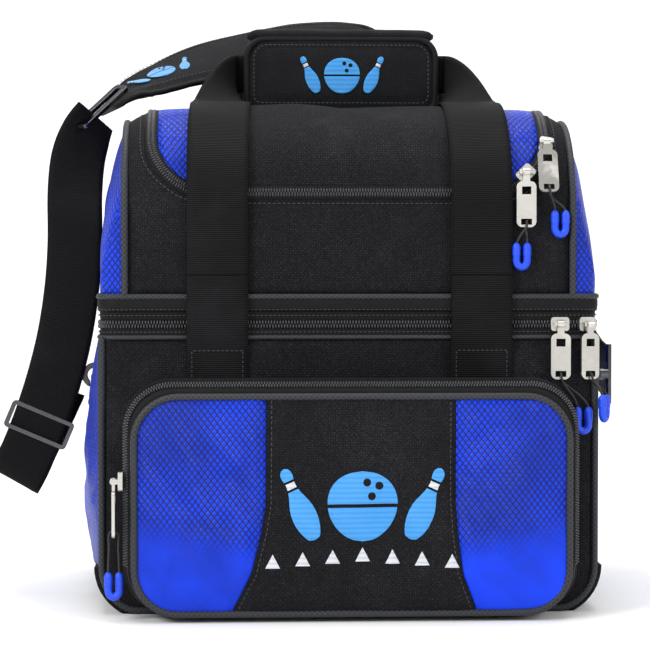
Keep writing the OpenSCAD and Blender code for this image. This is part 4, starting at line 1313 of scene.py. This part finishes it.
def pocket_zip_line(inset, top_inset, y):
    """Open line of the pocket zip: up the right side, over the top and down the left."""
    line, out = pocket_loop(inset, top_inset, y)
    keep = [i for i, p in enumerate(line) if p.z > POCKET_LOW + 31]
    tilt = vec(0, -0.75, 0)
    return [line[i] for i in keep], [(out[i] + tilt).normalized() for i in keep]


line, out = pocket_zip_line(1.5, 2.4, -148.3)
put(teeth("pocket_teeth_door", line, out, -1, pitch=1.8), "pocket_door", "zip_tape")
put(teeth("pocket_teeth_rear", line, out, 1, pitch=1.8), "ball_compartment", "zip_tape")
face_line, _ = pocket_loop(FACE_IN, FACE_TOP, -154.6)
pipe = tube_piece("pocket_piping_cord", face_line, 2.3, PIPING, 12, closed=True, up=vec(0, 1, 0))
put(pipe, "pocket_door", "piping", "pocket_piping")

SEAM_LEFT = [(-400, -79), (9, -76), (30.5, -65), (56.5, -58.5), (76, -55.5), (139, -55), (400, -55)]
SEAM_RIGHT = [(-400, 82), (9, 79), (30.5, 70.5), (56.5, 67), (76, 65.5), (139, 66), (400, 66)]


def seam_at(seam, z):
    return float(np.interp(z, [p[0] for p in seam], [p[1] for p in seam]))


def pocket_swell(x, z):
    """How far the padded pocket face stands out of its seam."""
    half, low, high = POCKET_W / 2 - FACE_IN, POCKET_LOW + 1.5, POCKET_HIGH - FACE_TOP
    u = min(1.0, abs(x) / half)
    v = min(1.0, max(-1.0, (z - (low + high) / 2) / ((high - low) / 2)))
    body = (1 - u**4) ** 0.5 * (1 - v**4) ** 0.5
    seam = min(abs(x - seam_at(SEAM_LEFT, z)), abs(x - seam_at(SEAM_RIGHT, z)))
    tuck = 1.6 * math.exp(-((seam / 4.0) ** 2)) * min(1.0, body * 3)
    painted_fold_light = ripple(x, 2, z, 34, 3.2) + ripple(x * 1.3 + z, 4, z * 0.6, 17, 2.0)
    return 6.0 * body + painted_fold_light * body - tuck


def pocket_face_point(x, z, out=0.0):
    return vec(x, -153.6 - pocket_swell(x, z) - out, z)


def pocket_panel(name, part, material):
    half, low, high = POCKET_W / 2 - FACE_IN, POCKET_LOW + 1.5, POCKET_HIGH - FACE_TOP
    r = POCKET_R - FACE_IN * 0.3
    turn = [0, 10, 20, 30, 40, 50, 60, 70, 80]
    rows = [low + r * (1 - math.cos(math.radians(a))) for a in turn]
    rows += list(np.linspace(low + r, high - r, 34))
    rows += [high - r * (1 - math.cos(math.radians(a))) for a in reversed(turn)]
    grid = []
    for z in rows:
        wide = outline_half(z, half, r, low, high)
        left, right = seam_at(SEAM_LEFT, z), seam_at(SEAM_RIGHT, z)
        xs = {-1: spread(-wide, left, 40), 0: spread(left, right, 50), 1: spread(right, wide, 40)}[part]
        grid.append([pocket_face_point(x, z) for x in xs])
    piece = grid_piece(name, grid, material)
    return thicken(piece, 2.6, LINING)


put(pocket_panel("pocket_centre", 0, BLACK_CLOTH), "pocket_door", "black_fabric", "pocket_middle")
sides = [pocket_panel("left", -1, BLUE_FACE), pocket_panel("right", 1, BLUE_FACE)]
put(join("pocket_blue", sides), "pocket_door", "blue_fabric", "pocket_sides")
seams = []
for seam, shift in ((SEAM_LEFT, 3.4), (SEAM_RIGHT, -3.4)):
    points = [pocket_face_point(seam_at(seam, z) + shift, z, 0.1) for z in np.linspace(8, 141, 60)]
    seams.append((points, [vec(0, -1, 0)] * 60))
stitches("pocket_seam_stitches", seams, "pocket_door", 3.4, 2.5)

# ---------- handles ----------

STRAP_X, STRAP_Y, STRAP_W = 86.0, 122.5, 40.0
GRIP_Z = 362.0
STRAP_SPLIT = 221.0


def handle_low(front, side):
    """Sewn end and straight part of a handle, up to the middle of its free length."""
    sign = -1 if front else 1
    path = [vec(side * STRAP_X, sign * 119.9, 151), vec(side * STRAP_X, sign * 120.4, 160)]
    path += [vec(side * STRAP_X, sign * 121.2, 170), vec(side * STRAP_X, sign * STRAP_Y, 181)]
    for z in np.linspace(186, STRAP_SPLIT, 6):
        path.append(vec(side * STRAP_X, sign * (STRAP_Y + 0.3 * math.sin((z - 181) / 12)), z))
    path = even_path(smooth_path(path, 4), 2.5)
    return ribbon_piece("low", path, [(sign * -1, 0, 0)] * len(path), STRAP_W, 2.2, WEBBING, crown=0.05)


def handle_high(front):
    """Part of a handle over the top edge, through the padded wrap and back down."""
    sign = -1 if front else 1
    bend = FRONT_BEND if front else BACK_BEND
    mid_z, inner_w = (GRIP_Z - 2, 26.0) if front else (TOP + 13, 14.0)
    arc_y, arc_z, arc_r = HALF_D - bend, TOP - bend, bend + 4.5
    slot_y = 12.6 / 2 - 2.5
    half = [(vec(-STRAP_X, STRAP_Y, z), 0.0, STRAP_W) for z in np.linspace(STRAP_SPLIT, arc_z, 9)]
    for a in np.linspace(0, 90, 10)[1:]:
        r = math.radians(a)
        lean = 3.0 * (a / 90) ** 2
        half.append((vec(-STRAP_X + lean, arc_y + arc_r * math.cos(r), arc_z + arc_r * math.sin(r)), 0.0, STRAP_W))
    for u in np.linspace(0, 1, 9)[1:]:
        ease = u * u * (3 - 2 * u)
        place = vec(-STRAP_X + 3 + 11 * u * u, arc_y + (slot_y - arc_y) * u, TOP + 4.5 + (mid_z - TOP - 4.5) * ease)
        half.append((place, math.pi / 2 * ease, inner_w + (STRAP_W - inner_w) * (1 - u) ** 2))
    half += [(vec(x, slot_y, mid_z), math.pi / 2, inner_w) for x in (-66, -40, -15)]
    whole = half + [(vec(-p.x, p.y, p.z), math.pi - turn, w) for p, turn, w in reversed(half)]
    flips = [(math.cos(turn), 0.0, -math.sin(turn)) for _, turn, _ in whole]
    points = [vec(p.x, sign * p.y, p.z) for p, _, _ in whole]
    route = smooth_path(points, 4)
    sides_at, widths = [], []
    for i in range(len(route)):
        k = min(i / 4, len(whole) - 1)
        a, b, t = int(k), min(int(k) + 1, len(whole) - 1), k - int(k)
        sides_at.append(Vector(flips[a]).lerp(Vector(flips[b]), t).normalized() * -sign)
        widths.append(whole[a][2] * (1 - t) + whole[b][2] * t)
    return ribbon_piece("high", route, sides_at, widths, 2.2, WEBBING, crown=0.05)


for front, name in ((True, "front"), (False, "back")):
    sign = -1 if front else 1
    low = join(name + "_handle_straps", [handle_low(front, -1), handle_low(front, 1)])
    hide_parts(name + "_strap_low", "sewn_webbing")
    y = sign * 0.12
    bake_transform(low)
    high = handle_high(front)
    high.name = name + "_handle_loop"
    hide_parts(name + "_strap_high")
    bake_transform(high)
    rows = []
    for side in (-1, 1):
        for shift in (-16.5, 16.5):
            x = side * STRAP_X + shift
            points = [vec(x, sign * (121.3 + (z - 154) * 0.08), z) for z in np.linspace(154, 172, 12)]
            rows.append((points, [vec(0, sign, 0)] * 12))
        points = [vec(side * STRAP_X + x, sign * 122.8, 172) for x in np.linspace(-16, 16, 16)]
        rows.append((points, [vec(0, sign, 0)] * 16))
    stitches(name + "_handle_stitches", rows, "ball_compartment", 3.0, 2.2)

# ---------- padded pieces ----------


def pillow(name, outline, thick, place, material, rings=16, power=0.5):
    """Closed pad: an outline filled by shrinking rings, front and back, crowned between."""
    centre = Vector((sum(p[0] for p in outline) / len(outline), sum(p[1] for p in outline) / len(outline)))
    count = len(outline)
    rows = []
    for face in (1, -1):
        levels = [k / rings for k in range(rings + 1)]
        for t in levels if face == 1 else list(reversed(levels))[1:]:
            shrink = t if t < 0.999 else 0.995
            row = []
            for p in outline:
                q = Vector(p).lerp(centre, shrink)
                rise = (1 - (1 - t) ** 2.2) ** power * thick / 2
                row.append(place(q.x, q.y, rise * face))
            rows.append(row)
    rows = list(reversed(rows[: rings + 1])) + list(reversed(rows[rings + 1 :]))
    piece = grid_piece(name, rows, material, wrap=True)
    close_ends(piece, count)
    return piece


def round_rect(half_w, half_h, top_r, low_r, step=3.0):
    """Closed outline with its own radius at the upper and the lower corners."""
    line = []

    def arc(cx, cy, r, start):
        for a in np.linspace(0, 90, 9):
            t = math.radians(start + a)
            line.append((cx + r * math.cos(t), cy + r * math.sin(t)))

    arc(half_w - low_r, -half_h + low_r, low_r, -90)
    arc(half_w - top_r, half_h - top_r, top_r, 0)
    arc(-half_w + top_r, half_h - top_r, top_r, 90)
    arc(-half_w + low_r, -half_h + low_r, low_r, 180)
    closed = [vec(x, y, 0) for x, y in line]
    return [(p.x, p.y) for p in even_path(closed + [closed[0]], step)[:-1]]

PUFF_FRAMES = 18


def puff(piece, pressure, cap):
    """Fills a pad with cloth pressure, keeping each point within a cap of its start."""
    start = np.array([v.co for v in piece.data.vertices])
    cloth = piece.modifiers.new("cloth", "CLOTH")
    cloth.settings.quality = 4
    cloth.settings.mass = 0.2
    cloth.settings.use_pressure = True
    cloth.settings.uniform_pressure_force = pressure
    cloth.settings.effector_weights.gravity = 0
    cloth.settings.tension_stiffness = 40
    cloth.settings.compression_stiffness = 20
    cloth.settings.bending_stiffness = 1.0
    cloth.point_cache.frame_end = PUFF_FRAMES
    scene = bpy.context.scene
    for frame_no in range(1, PUFF_FRAMES + 1):
        scene.frame_set(frame_no)
    graph = bpy.context.evaluated_depsgraph_get()
    moved = bpy.data.meshes.new_from_object(piece.evaluated_get(graph), depsgraph=graph)
    end = np.array([v.co for v in moved.vertices])
    scene.frame_set(1)
    piece.modifiers.clear()
    shift = end - start
    length = np.linalg.norm(shift, axis=1, keepdims=True)
    shift *= np.minimum(1.0, cap * MM / np.maximum(length, 1e-9))
    piece.data.vertices.foreach_set("co", (start + shift).ravel())
    piece.data.update()
    return piece


PAD_CLOTH = woven("pad_cloth", [0.003, 0.0032, 0.004, 1], [0.018, 0.019, 0.022, 1], 800.0, 0.22)


def grip_half(name, y_mid, low, high, thick, sign):
    """One padded half of the wrap, crowned outwards."""
    middle, half_h = (low + high) / 2, (high - low) / 2
    outline = round_rect(66.0, half_h, 13.0, 7.0)

    def place(x, z, rise):
        u, v = x / 66.0, z / half_h
        dent = 0.8 * math.exp(-(((abs(x) - 60) / 2.5) ** 2)) + 0.8 * math.exp(-(((abs(z) - half_h + 6) / 2.5) ** 2))
        bow = 0.8 * math.cos(u * 1.4)
        fold = ripple(x, sign * 9, z, 24, 0.7) * (1 - u**4) * (1 - v**4)
        return vec(x, y_mid + rise + sign * (bow + fold - dent * 0.6), GRIP_Z + middle + z)

    piece = pillow(name, outline, thick, place, PAD_CLOTH)
    return puff(piece, 2.0, 2.5)


front_pad = grip_half("grip_front_pad", -10.2, -27.5, 22.0, 7.6, -1)
put(front_pad, "grip_cover", "padded_fabric", "grip_front")
rear_pad = grip_half("grip_rear_pad", 10.0, -27.5, 24.0, 7.6, 1)


def grip_fold():
    """Padded fold over the straps that joins the two halves of the wrap."""
    rows = []
    for x in np.linspace(-65, 65, 40):
        end = max(0.0, (abs(x) - 55) / 10)
        size = math.sqrt(max(0.02, 1 - end * end * 0.9))
        row = []
        for a in np.linspace(0, 2 * math.pi, 25)[:-1]:
            c, s = math.cos(a), math.sin(a)
            w = 12.6 * size
            y = w * abs(c) ** 0.7 * math.copysign(1, c)
            z = 4.6 * abs(s) ** 0.8 * math.copysign(1, s) * size
            row.append(vec(x, y, GRIP_Z + 24.6 + z + ripple(x, y, 3, 20, 0.5)))
        rows.append(row)
    piece = grid_piece("fold", rows, PAD_CLOTH, wrap=True)
    close_ends(piece, 24)
    return piece


rear = join("grip_rear_soft", [rear_pad, grip_fold()])
put(rear, "front_handle_high", "padded_fabric", "grip_rear")


def binding_line(half_w, low, high, y, top_r=13.0, low_r=7.0):
    middle, half_h = (low + high) / 2, (high - low) / 2
    return [vec(x, y, GRIP_Z + middle + z) for x, z in round_rect(half_w, half_h, top_r, low_r, 2.0)]


for name, y, body, high in (("front", -10.9, "grip_cover", 22.0), ("rear", 10.8, "front_handle_high", 24.0)):
    line = binding_line(65.6, -27.2, high - 0.3, y)
    edge = tube_piece("grip_binding_" + name, line, 2.3, BINDING, 12, closed=True, up=vec(0, 1, 0))
    put(edge, body, "padded_fabric")
    sign = -1 if name == "front" else 1
    path = binding_line(60.5, -22.6, high - 4.6, sign * 14.7, 9, 5)
    sewn = [(path + [path[0]], [vec(0, sign, 0)] * (len(path) + 1))]
    stitches("grip_stitches_" + name, sewn, body, 3.0, 2.2)

# ---------- shoulder strap ----------

PAD_ROUTE = [
    (-162, 18, 336), (-144, 26, 350), (-118, 36, 362), (-90, 46, 372), (-60, 51, 378), (-28, 55, 383),
    (4, 60, 385), (36, 66, 383),
]
PAD_SIDES = [
    (0.2, 0.9, 0.3), (0.1, 0.9, 0.36), (0, 0.88, 0.4), (-0.1, 0.86, 0.5), (-0.1, 0.82, 0.56),
    (0, 0.78, 0.62), (0, 0.78, 0.62), (0, 0.8, 0.58),
]
LEFT_ROUTE = [
    (-171, 8, 331), (-178, 4, 317), (-183, 0, 300), (-185, -3, 276), (-185, -4, 244), (-187, -6, 212),
    (-192, -9, 178), (-200, -10, 146), (-210, -8, 116), (-220, -5, 92), (-225, -3, 82), (-228, 1, 77),
    (-226, 6, 82), (-221, 9, 92), (-213, 11, 108), (-205, 12, 124), (-200, 12, 134), (-197, 11, 141),
]
LEFT_SIDES = [
    (0.7, 0.7, -0.1), (0.85, 0.45, -0.2), (0.95, 0.2, -0.2), (1, 0, -0.1), (1, 0, -0.05), (1, 0, -0.1),
    (0.98, 0, -0.2), (0.95, 0, -0.3), (0.92, 0, -0.4), (0.9, 0, -0.44), (0.88, 0, -0.47), (0.86, 0, -0.5),
    (0.86, 0, -0.5), (0.88, 0, -0.47), (0.86, 0.1, -0.48), (0.75, 0.2, -0.6), (0.55, 0.3, -0.76),
    (0.35, 0.3, -0.88),
]
RIGHT_ROUTE = [
    (14, 61.5, 384.6), (42, 66, 381), (68, 78, 373), (92, 94, 358), (112, 114, 336), (124, 130, 306),
    (132, 138, 272), (142, 140, 240), (156, 136, 210), (174, 118, 186), (186, 94, 170), (190, 64, 160),
    (190, 34, 154), (190, 8, 151),
]
RIGHT_SIDES = [
    (0, 0.78, 0.62), (0, 0.8, 0.58), (-0.3, 0.85, 0.4), (-0.55, 0.8, 0.2), (-0.8, 0.55, 0),
    (-0.95, 0.25, -0.1), (-1, 0, -0.15), (-1, 0.05, -0.3), (-0.85, 0.3, -0.5), (-0.55, 0.5, -0.7),
    (-0.2, 0.45, -0.9), (0, 0.3, -0.95), (0, 0.2, -1), (0, 0.1, -1),
]


def swept(route, sides_at, per=6):
    """Smooth path with its width directions and steady surface normals."""
    path = smooth_path(route, per)
    wide = []
    for i in range(len(path)):
        k = min(i / per, len(route) - 1)
        a, b, t = int(k), min(int(k) + 1, len(route) - 1), k - int(k)
        wide.append(Vector(sides_at[a]).normalized().lerp(Vector(sides_at[b]).normalized(), t).normalized())
    return path, wide


left_path, left_wide = swept(LEFT_ROUTE, LEFT_SIDES)
right_path, right_wide = swept(RIGHT_ROUTE, RIGHT_SIDES)
web = join(
    "shoulder_webbing_soft",
    [
        ribbon_piece("left", left_path, left_wide, 38.0, 2.0, WEBBING, crown=0.05),
        ribbon_piece("right", right_path, right_wide, 38.0, 2.0, WEBBING, crown=0.05),
    ],
)
put(web, "shoulder_strap", "webbing", "shoulder_webbing")
pad_path, pad_wide = swept(PAD_ROUTE, PAD_SIDES, 8)


def pad_frame(u):
    """Point, width direction and outward normal at a place along the pad from its middle."""
    k = min((u + PAD_LEN / 2) / PAD_LEN, 0.9999) * (len(pad_path) - 1)
    a, t = int(k), k - int(k)
    point = pad_path[a].lerp(pad_path[a + 1], t)
    head = (pad_path[a + 1] - pad_path[a]).normalized()
    wide = pad_wide[a].lerp(pad_wide[a + 1], t)
    normal = head.cross(wide).normalized()
    if normal.z < 0:
        normal.negate()
    across = normal.cross(head).normalized()
    return point, across * (1 if across.dot(wide) > 0 else -1), normal


PAD_LEN = sum((b - a).length for a, b in zip(pad_path, pad_path[1:]))


def pad_point(u, v, rise):
    """Point of the shoulder pad: u along in millimetres, v across, rise off its middle."""
    point, wide, normal = pad_frame(u)
    return point + wide * v + normal * rise


def pad_place(u, v, rise):
    seam = 0.9 * math.exp(-(((abs(v) - 24.5) / 1.8) ** 2))
    fold = ripple(u, v, 2, 26, 0.8)
    lift = rise - math.copysign(seam, rise) if abs(rise) > 1.2 else rise
    return pad_point(u, v, lift + (fold if abs(rise) > 1 else 0))


outline = round_rect(PAD_LEN / 2 - 1, 29.0, 12.0, 12.0)
pad = pillow("shoulder_pad_soft", outline, 10.5, pad_place, PAD_CLOTH, rings=14, power=0.42)
put(pad, "shoulder_strap", "padded_fabric", "shoulder_pad")
loop = round_rect(PAD_LEN / 2 - 1.2, 28.6, 12.0, 12.0, 3.0)
line = [pad_point(u, v, 0) for u, v in loop]
edge = tube_piece("shoulder_pad_binding", line, 2.2, BINDING, 12, closed=True, up=vec(0, 0, 1))
put(edge, "shoulder_strap", "padded_fabric")
rows = []
for v in (-23.2, 23.2):
    us = np.linspace(-PAD_LEN / 2 + 14, PAD_LEN / 2 - 14, 50)
    rows.append(([pad_point(u, v, 5.0) for u in us], [pad_frame(u)[2] for u in us]))
stitches("shoulder_pad_stitches", rows, "shoulder_strap", 3.2, 2.3)

# ---------- metal parts ----------


def rounded_metal(node, body, material, slot, bevel):
    """The hard part's own shape with its edges broken."""
    mesh = NODES[node].data.copy()
    mesh.name = node + "_metal"
    with editing(mesh) as bm:
        bmesh.ops.remove_doubles(bm, verts=bm.verts, dist=2e-6)
        bmesh.ops.dissolve_limit(bm, angle_limit=math.radians(1.0), verts=bm.verts, edges=bm.edges)
    mesh.materials.clear()
    piece = link(node + "_metal", mesh, material)
    soften = piece.modifiers.new("edges", "BEVEL")
    soften.width = bevel * MM
    soften.segments = 3
    soften.limit_method = "ANGLE"
    soften.angle_limit = math.radians(38)
    soften.use_clamp_overlap = True
    apply_modifiers(piece)
    piece.data.polygons.foreach_set("use_smooth", [True] * len(piece.data.polygons))
    with_normals = piece.modifiers.new("normals", "WEIGHTED_NORMAL")
    with_normals.keep_sharp = True
    apply_modifiers(piece)
    return put(piece, body, slot, node)


for zip_name in LOOPS:
    rounded_metal(zip_name + "_slider", zip_name + "_zip_slider", NICKEL, "nickel", 0.5)
    rounded_metal(zip_name + "_pull", zip_name + "_zip_pull", NICKEL, "nickel", 0.4)
for node, body, material, slot, bevel in (
    ("snap_hooks", "ball_compartment", DARK_METAL, "gunmetal", 0.9),
    ("hook_swivels", "strap_ends", DARK_METAL, "gunmetal", 0.4),
    ("left_gate", "left_hook_gate", DARK_METAL, "gunmetal", 0.4),
    ("right_gate", "right_hook_gate", DARK_METAL, "gunmetal", 0.4),
    ("side_rings", "ball_compartment", DARK_METAL, "gunmetal", 0.2),
    ("strap_buckles", "shoulder_strap", DARK_METAL, "gunmetal", 0.7),
    ("shoe_floor", "shoe_compartment", BLACK_CLOTH, "black_fabric", 1.2),
    ("base_board", "ball_compartment", BOARD, "board", 1.2),
    ("ball_cup", "ball_compartment", FOAM, "foam", 1.2),
):
    rounded_metal(node, body, material, slot, bevel)

# ---------- side tabs ----------

tabs = []
for side in (-1, 1):
    ring_x, ring_z = side * 171.5, 132.0
    wrap = [vec(side * x, 0, z) for x, z in ((163.6, 103), (163.8, 114), (164.6, 124), (166.5, 129))]
    for a in np.linspace(200, -160, 14):
        t = math.radians(a)
        wrap.append(vec(ring_x + side * 3.7 * math.cos(t), 0, ring_z + 3.7 * math.sin(t)))
    wrap += [vec(side * x, 0, z) for x, z in ((166.9, 126), (165.2, 120), (164.6, 112))]
    path = even_path(wrap, 1.6)
    tabs.append(ribbon_piece("tab", path, [(0, 1, 0)] * len(path), 32.0, 1.6, WEBBING, crown=0.05))
put(join("side_tabs", tabs), "ball_compartment", "webbing", "sewn_webbing")

# ---------- emblems ----------


def satin(name, one, two, place, height, material, across=8):
    """Satin-stitched shape between two lines, raised like padded embroidery."""
    rows = []
    for a, b in zip(one, two):
        row = []
        for k in range(across + 1):
            t = k / across
            x, z = a[0] + (b[0] - a[0]) * t, a[1] + (b[1] - a[1]) * t
            wide = min(1.0, math.hypot(b[0] - a[0], b[1] - a[1]) / 2.0)
            row.append(place(x, z, (height * (0.35 + 0.65 * math.sin(math.pi * t) ** 0.5)) * wide + 0.05))
        rows.append(row)
    return grid_piece(name, rows, material)


PIN_SHAPE = (
    [0.0, 0.008, 0.03, 0.08, 0.15, 0.24, 0.33, 0.42, 0.5, 0.58, 0.65, 0.72, 0.78, 0.83, 0.88, 0.92, 0.96, 0.985, 1.0],
    [0.02, 0.06, 0.085, 0.11, 0.137, 0.157, 0.163, 0.155, 0.135, 0.106]
    + [0.08, 0.064, 0.06, 0.067, 0.077, 0.077, 0.062, 0.04, 0.0],
)


def pin_profile(t):
    """Half width of a bowling pin at a share of its height, for a height of 1."""
    return float(np.interp(t, *PIN_SHAPE))


def emblem(name, place, scale, body, slot, arrows):
    """Bowling ball between two leaning pins, with a row of lane arrows below."""
    sky, white, holes = [], [], []

    def at(x, z, out):
        return place(x * scale, z * scale, out)

    ball_r = 20.0
    for low, high in ((-1.0, -0.12), (-0.02, 1.0)):
        one, two = [], []
        for t in np.linspace(low, high, 24):
            h = ball_r * t
            w = math.sqrt(max(0.0, ball_r**2 - h * h))
            sag = 2.2 * math.cos(w / ball_r * 1.4)
            one.append((-w, h - sag))
            two.append((w, h - sag))
        sky.append(satin("ball", one, two, at, 0.9, SKY_THREAD, 28))
    for x, z in ((2.5, 11.5), (9.5, 9.5), (5.2, 3.6)):
        one = [(x + 2.3 * math.cos(a), z + 2.3 * math.sin(a)) for a in np.linspace(-math.pi / 2, math.pi / 2, 11)]
        two = [(2 * x - p[0], p[1]) for p in one]
        holes.append(satin("hole", two, one, lambda px, pz, out: at(px, pz, out + 0.75), 0.35, BLACK_CLOTH, 6))
    for side in (-1, 1):
        lean = side * 0.42
        base_x, base_z, high = side * 27.0, -21.0, 44.0

        def turned(x, t):
            z, c, s = t * high, math.cos(lean), math.sin(lean)
            return (base_x + x * c + z * s, base_z - x * s + z * c)

        for low, top in ((0.0, 0.69), (0.72, 0.80), (0.83, 1.0)):
            shares = np.linspace(low, top, 40 if low == 0.0 else 12)
            one = [turned(-pin_profile(t) * high, t) for t in shares]
            two = [turned(pin_profile(t) * high, t) for t in shares]
            target = white if low == 0.72 else sky
            target.append(satin("pin", one, two, at, 0.8, WHITE_THREAD if low == 0.72 else SKY_THREAD, 10))
    if arrows:
        for k in range(-3, 4):
            x, z, w, h = k * 17.0, -33.5 - abs(k) * 1.3, 4.2, 8.0
            one = [(x - w * t, z + h * (1 - t)) for t in np.linspace(0, 1, 9)]
            two = [(x + w * t, z + h * (1 - t)) for t in np.linspace(0, 1, 9)]
            white.append(satin("arrow", one, two, at, 0.6, WHITE_THREAD, 6))
    for label, parts in (("sky", sky), ("white", white), ("holes", holes)):
        if parts:
            piece = join(name + "_" + label, parts)
            put(piece, body, slot)


emblem(
    "pocket_emblem",
    lambda x, z, out: pocket_face_point(x + 6.0, z + 77.0, out),
    1.12,
    "pocket_door",
    "black_fabric",
    True,
)
emblem(
    "grip_emblem", lambda x, z, out: vec(x + 0.5, -14.9 - out, z + 359.5), 0.62, "grip_cover", "padded_fabric", False
)
emblem(
    "pad_emblem",
    lambda x, z, out: pad_point(x + 22.0 - PAD_LEN / 2 + 32, z, 5.2 + out),
    0.5,
    "shoulder_strap",
    "padded_fabric",
    False,
)


# ---------- floor, light and closing lines ----------

def floor_finish():
    """Pale floor that can be looked through from behind its rising part."""
    f = Finish("pale_floor", 0.8)
    f.set("Base Color", f.mix(f.noise(f.place, 30.0), [0.86, 0.86, 0.86, 1], [0.9, 0.9, 0.9, 1]))
    behind = f.add("ShaderNodeNewGeometry").outputs["Backfacing"]
    f.set("Alpha", f.minus(1.0, behind))
    return f.material


sweep = [(-3.0, 0.0), (-2.4, 0.0), (-1.0, 0.0), (0.6, 0.0), (1.0, 0.0)]
sweep += [(1.25, 0.03), (1.45, 0.12), (1.6, 0.3), (1.68, 0.6), (1.7, 2.6)]
sides = [-3.0, -1.0, 1.0, 3.0]
floor_mesh = bpy.data.meshes.new("floor")
floor_mesh.from_pydata([(x, y, z) for y, z in sweep for x in sides], [], grid_faces(len(sweep), len(sides)))
floor_mesh.update()
if floor_mesh.polygons[0].normal.z < 0:
    floor_mesh.flip_normals()
floor_mesh.polygons.foreach_set("use_smooth", [True] * len(floor_mesh.polygons))
link("floor", floor_mesh, floor_finish())

BAG_MIDDLE = (0, 0, 0.2)


def soft_light(name, place, size, power):
    data = bpy.data.lights.new(name, "AREA")
    data.shape = "RECTANGLE"
    data.size, data.size_y = size
    data.energy = power
    light = bpy.data.objects.new(name, data)
    bpy.context.scene.collection.objects.link(light)
    light.location = place
    light.rotation_euler = (Vector(BAG_MIDDLE) - Vector(place)).to_track_quat("-Z", "Y").to_euler()


soft_light("light_left", (-1.5, -1.5, 1.3), (0.8, 0.8), 34)
soft_light("light_right", (1.6, -1.3, 1.1), (0.8, 1.0), 15)
soft_light("light_top", (0, 0.1, 2.1), (1.5, 1.3), 34)
soft_light("light_front", (0.1, -2.2, 0.8), (1.0, 0.8), 5)
world = bpy.data.worlds.new("studio")
world.use_nodes = True
world.node_tree.nodes["Background"].inputs[0].default_value = (1.0, 1.0, 1.0, 1)
world.node_tree.nodes["Background"].inputs[1].default_value = 0.5
bpy.context.scene.world = world
bpy.context.scene.view_settings.view_transform = "Standard"
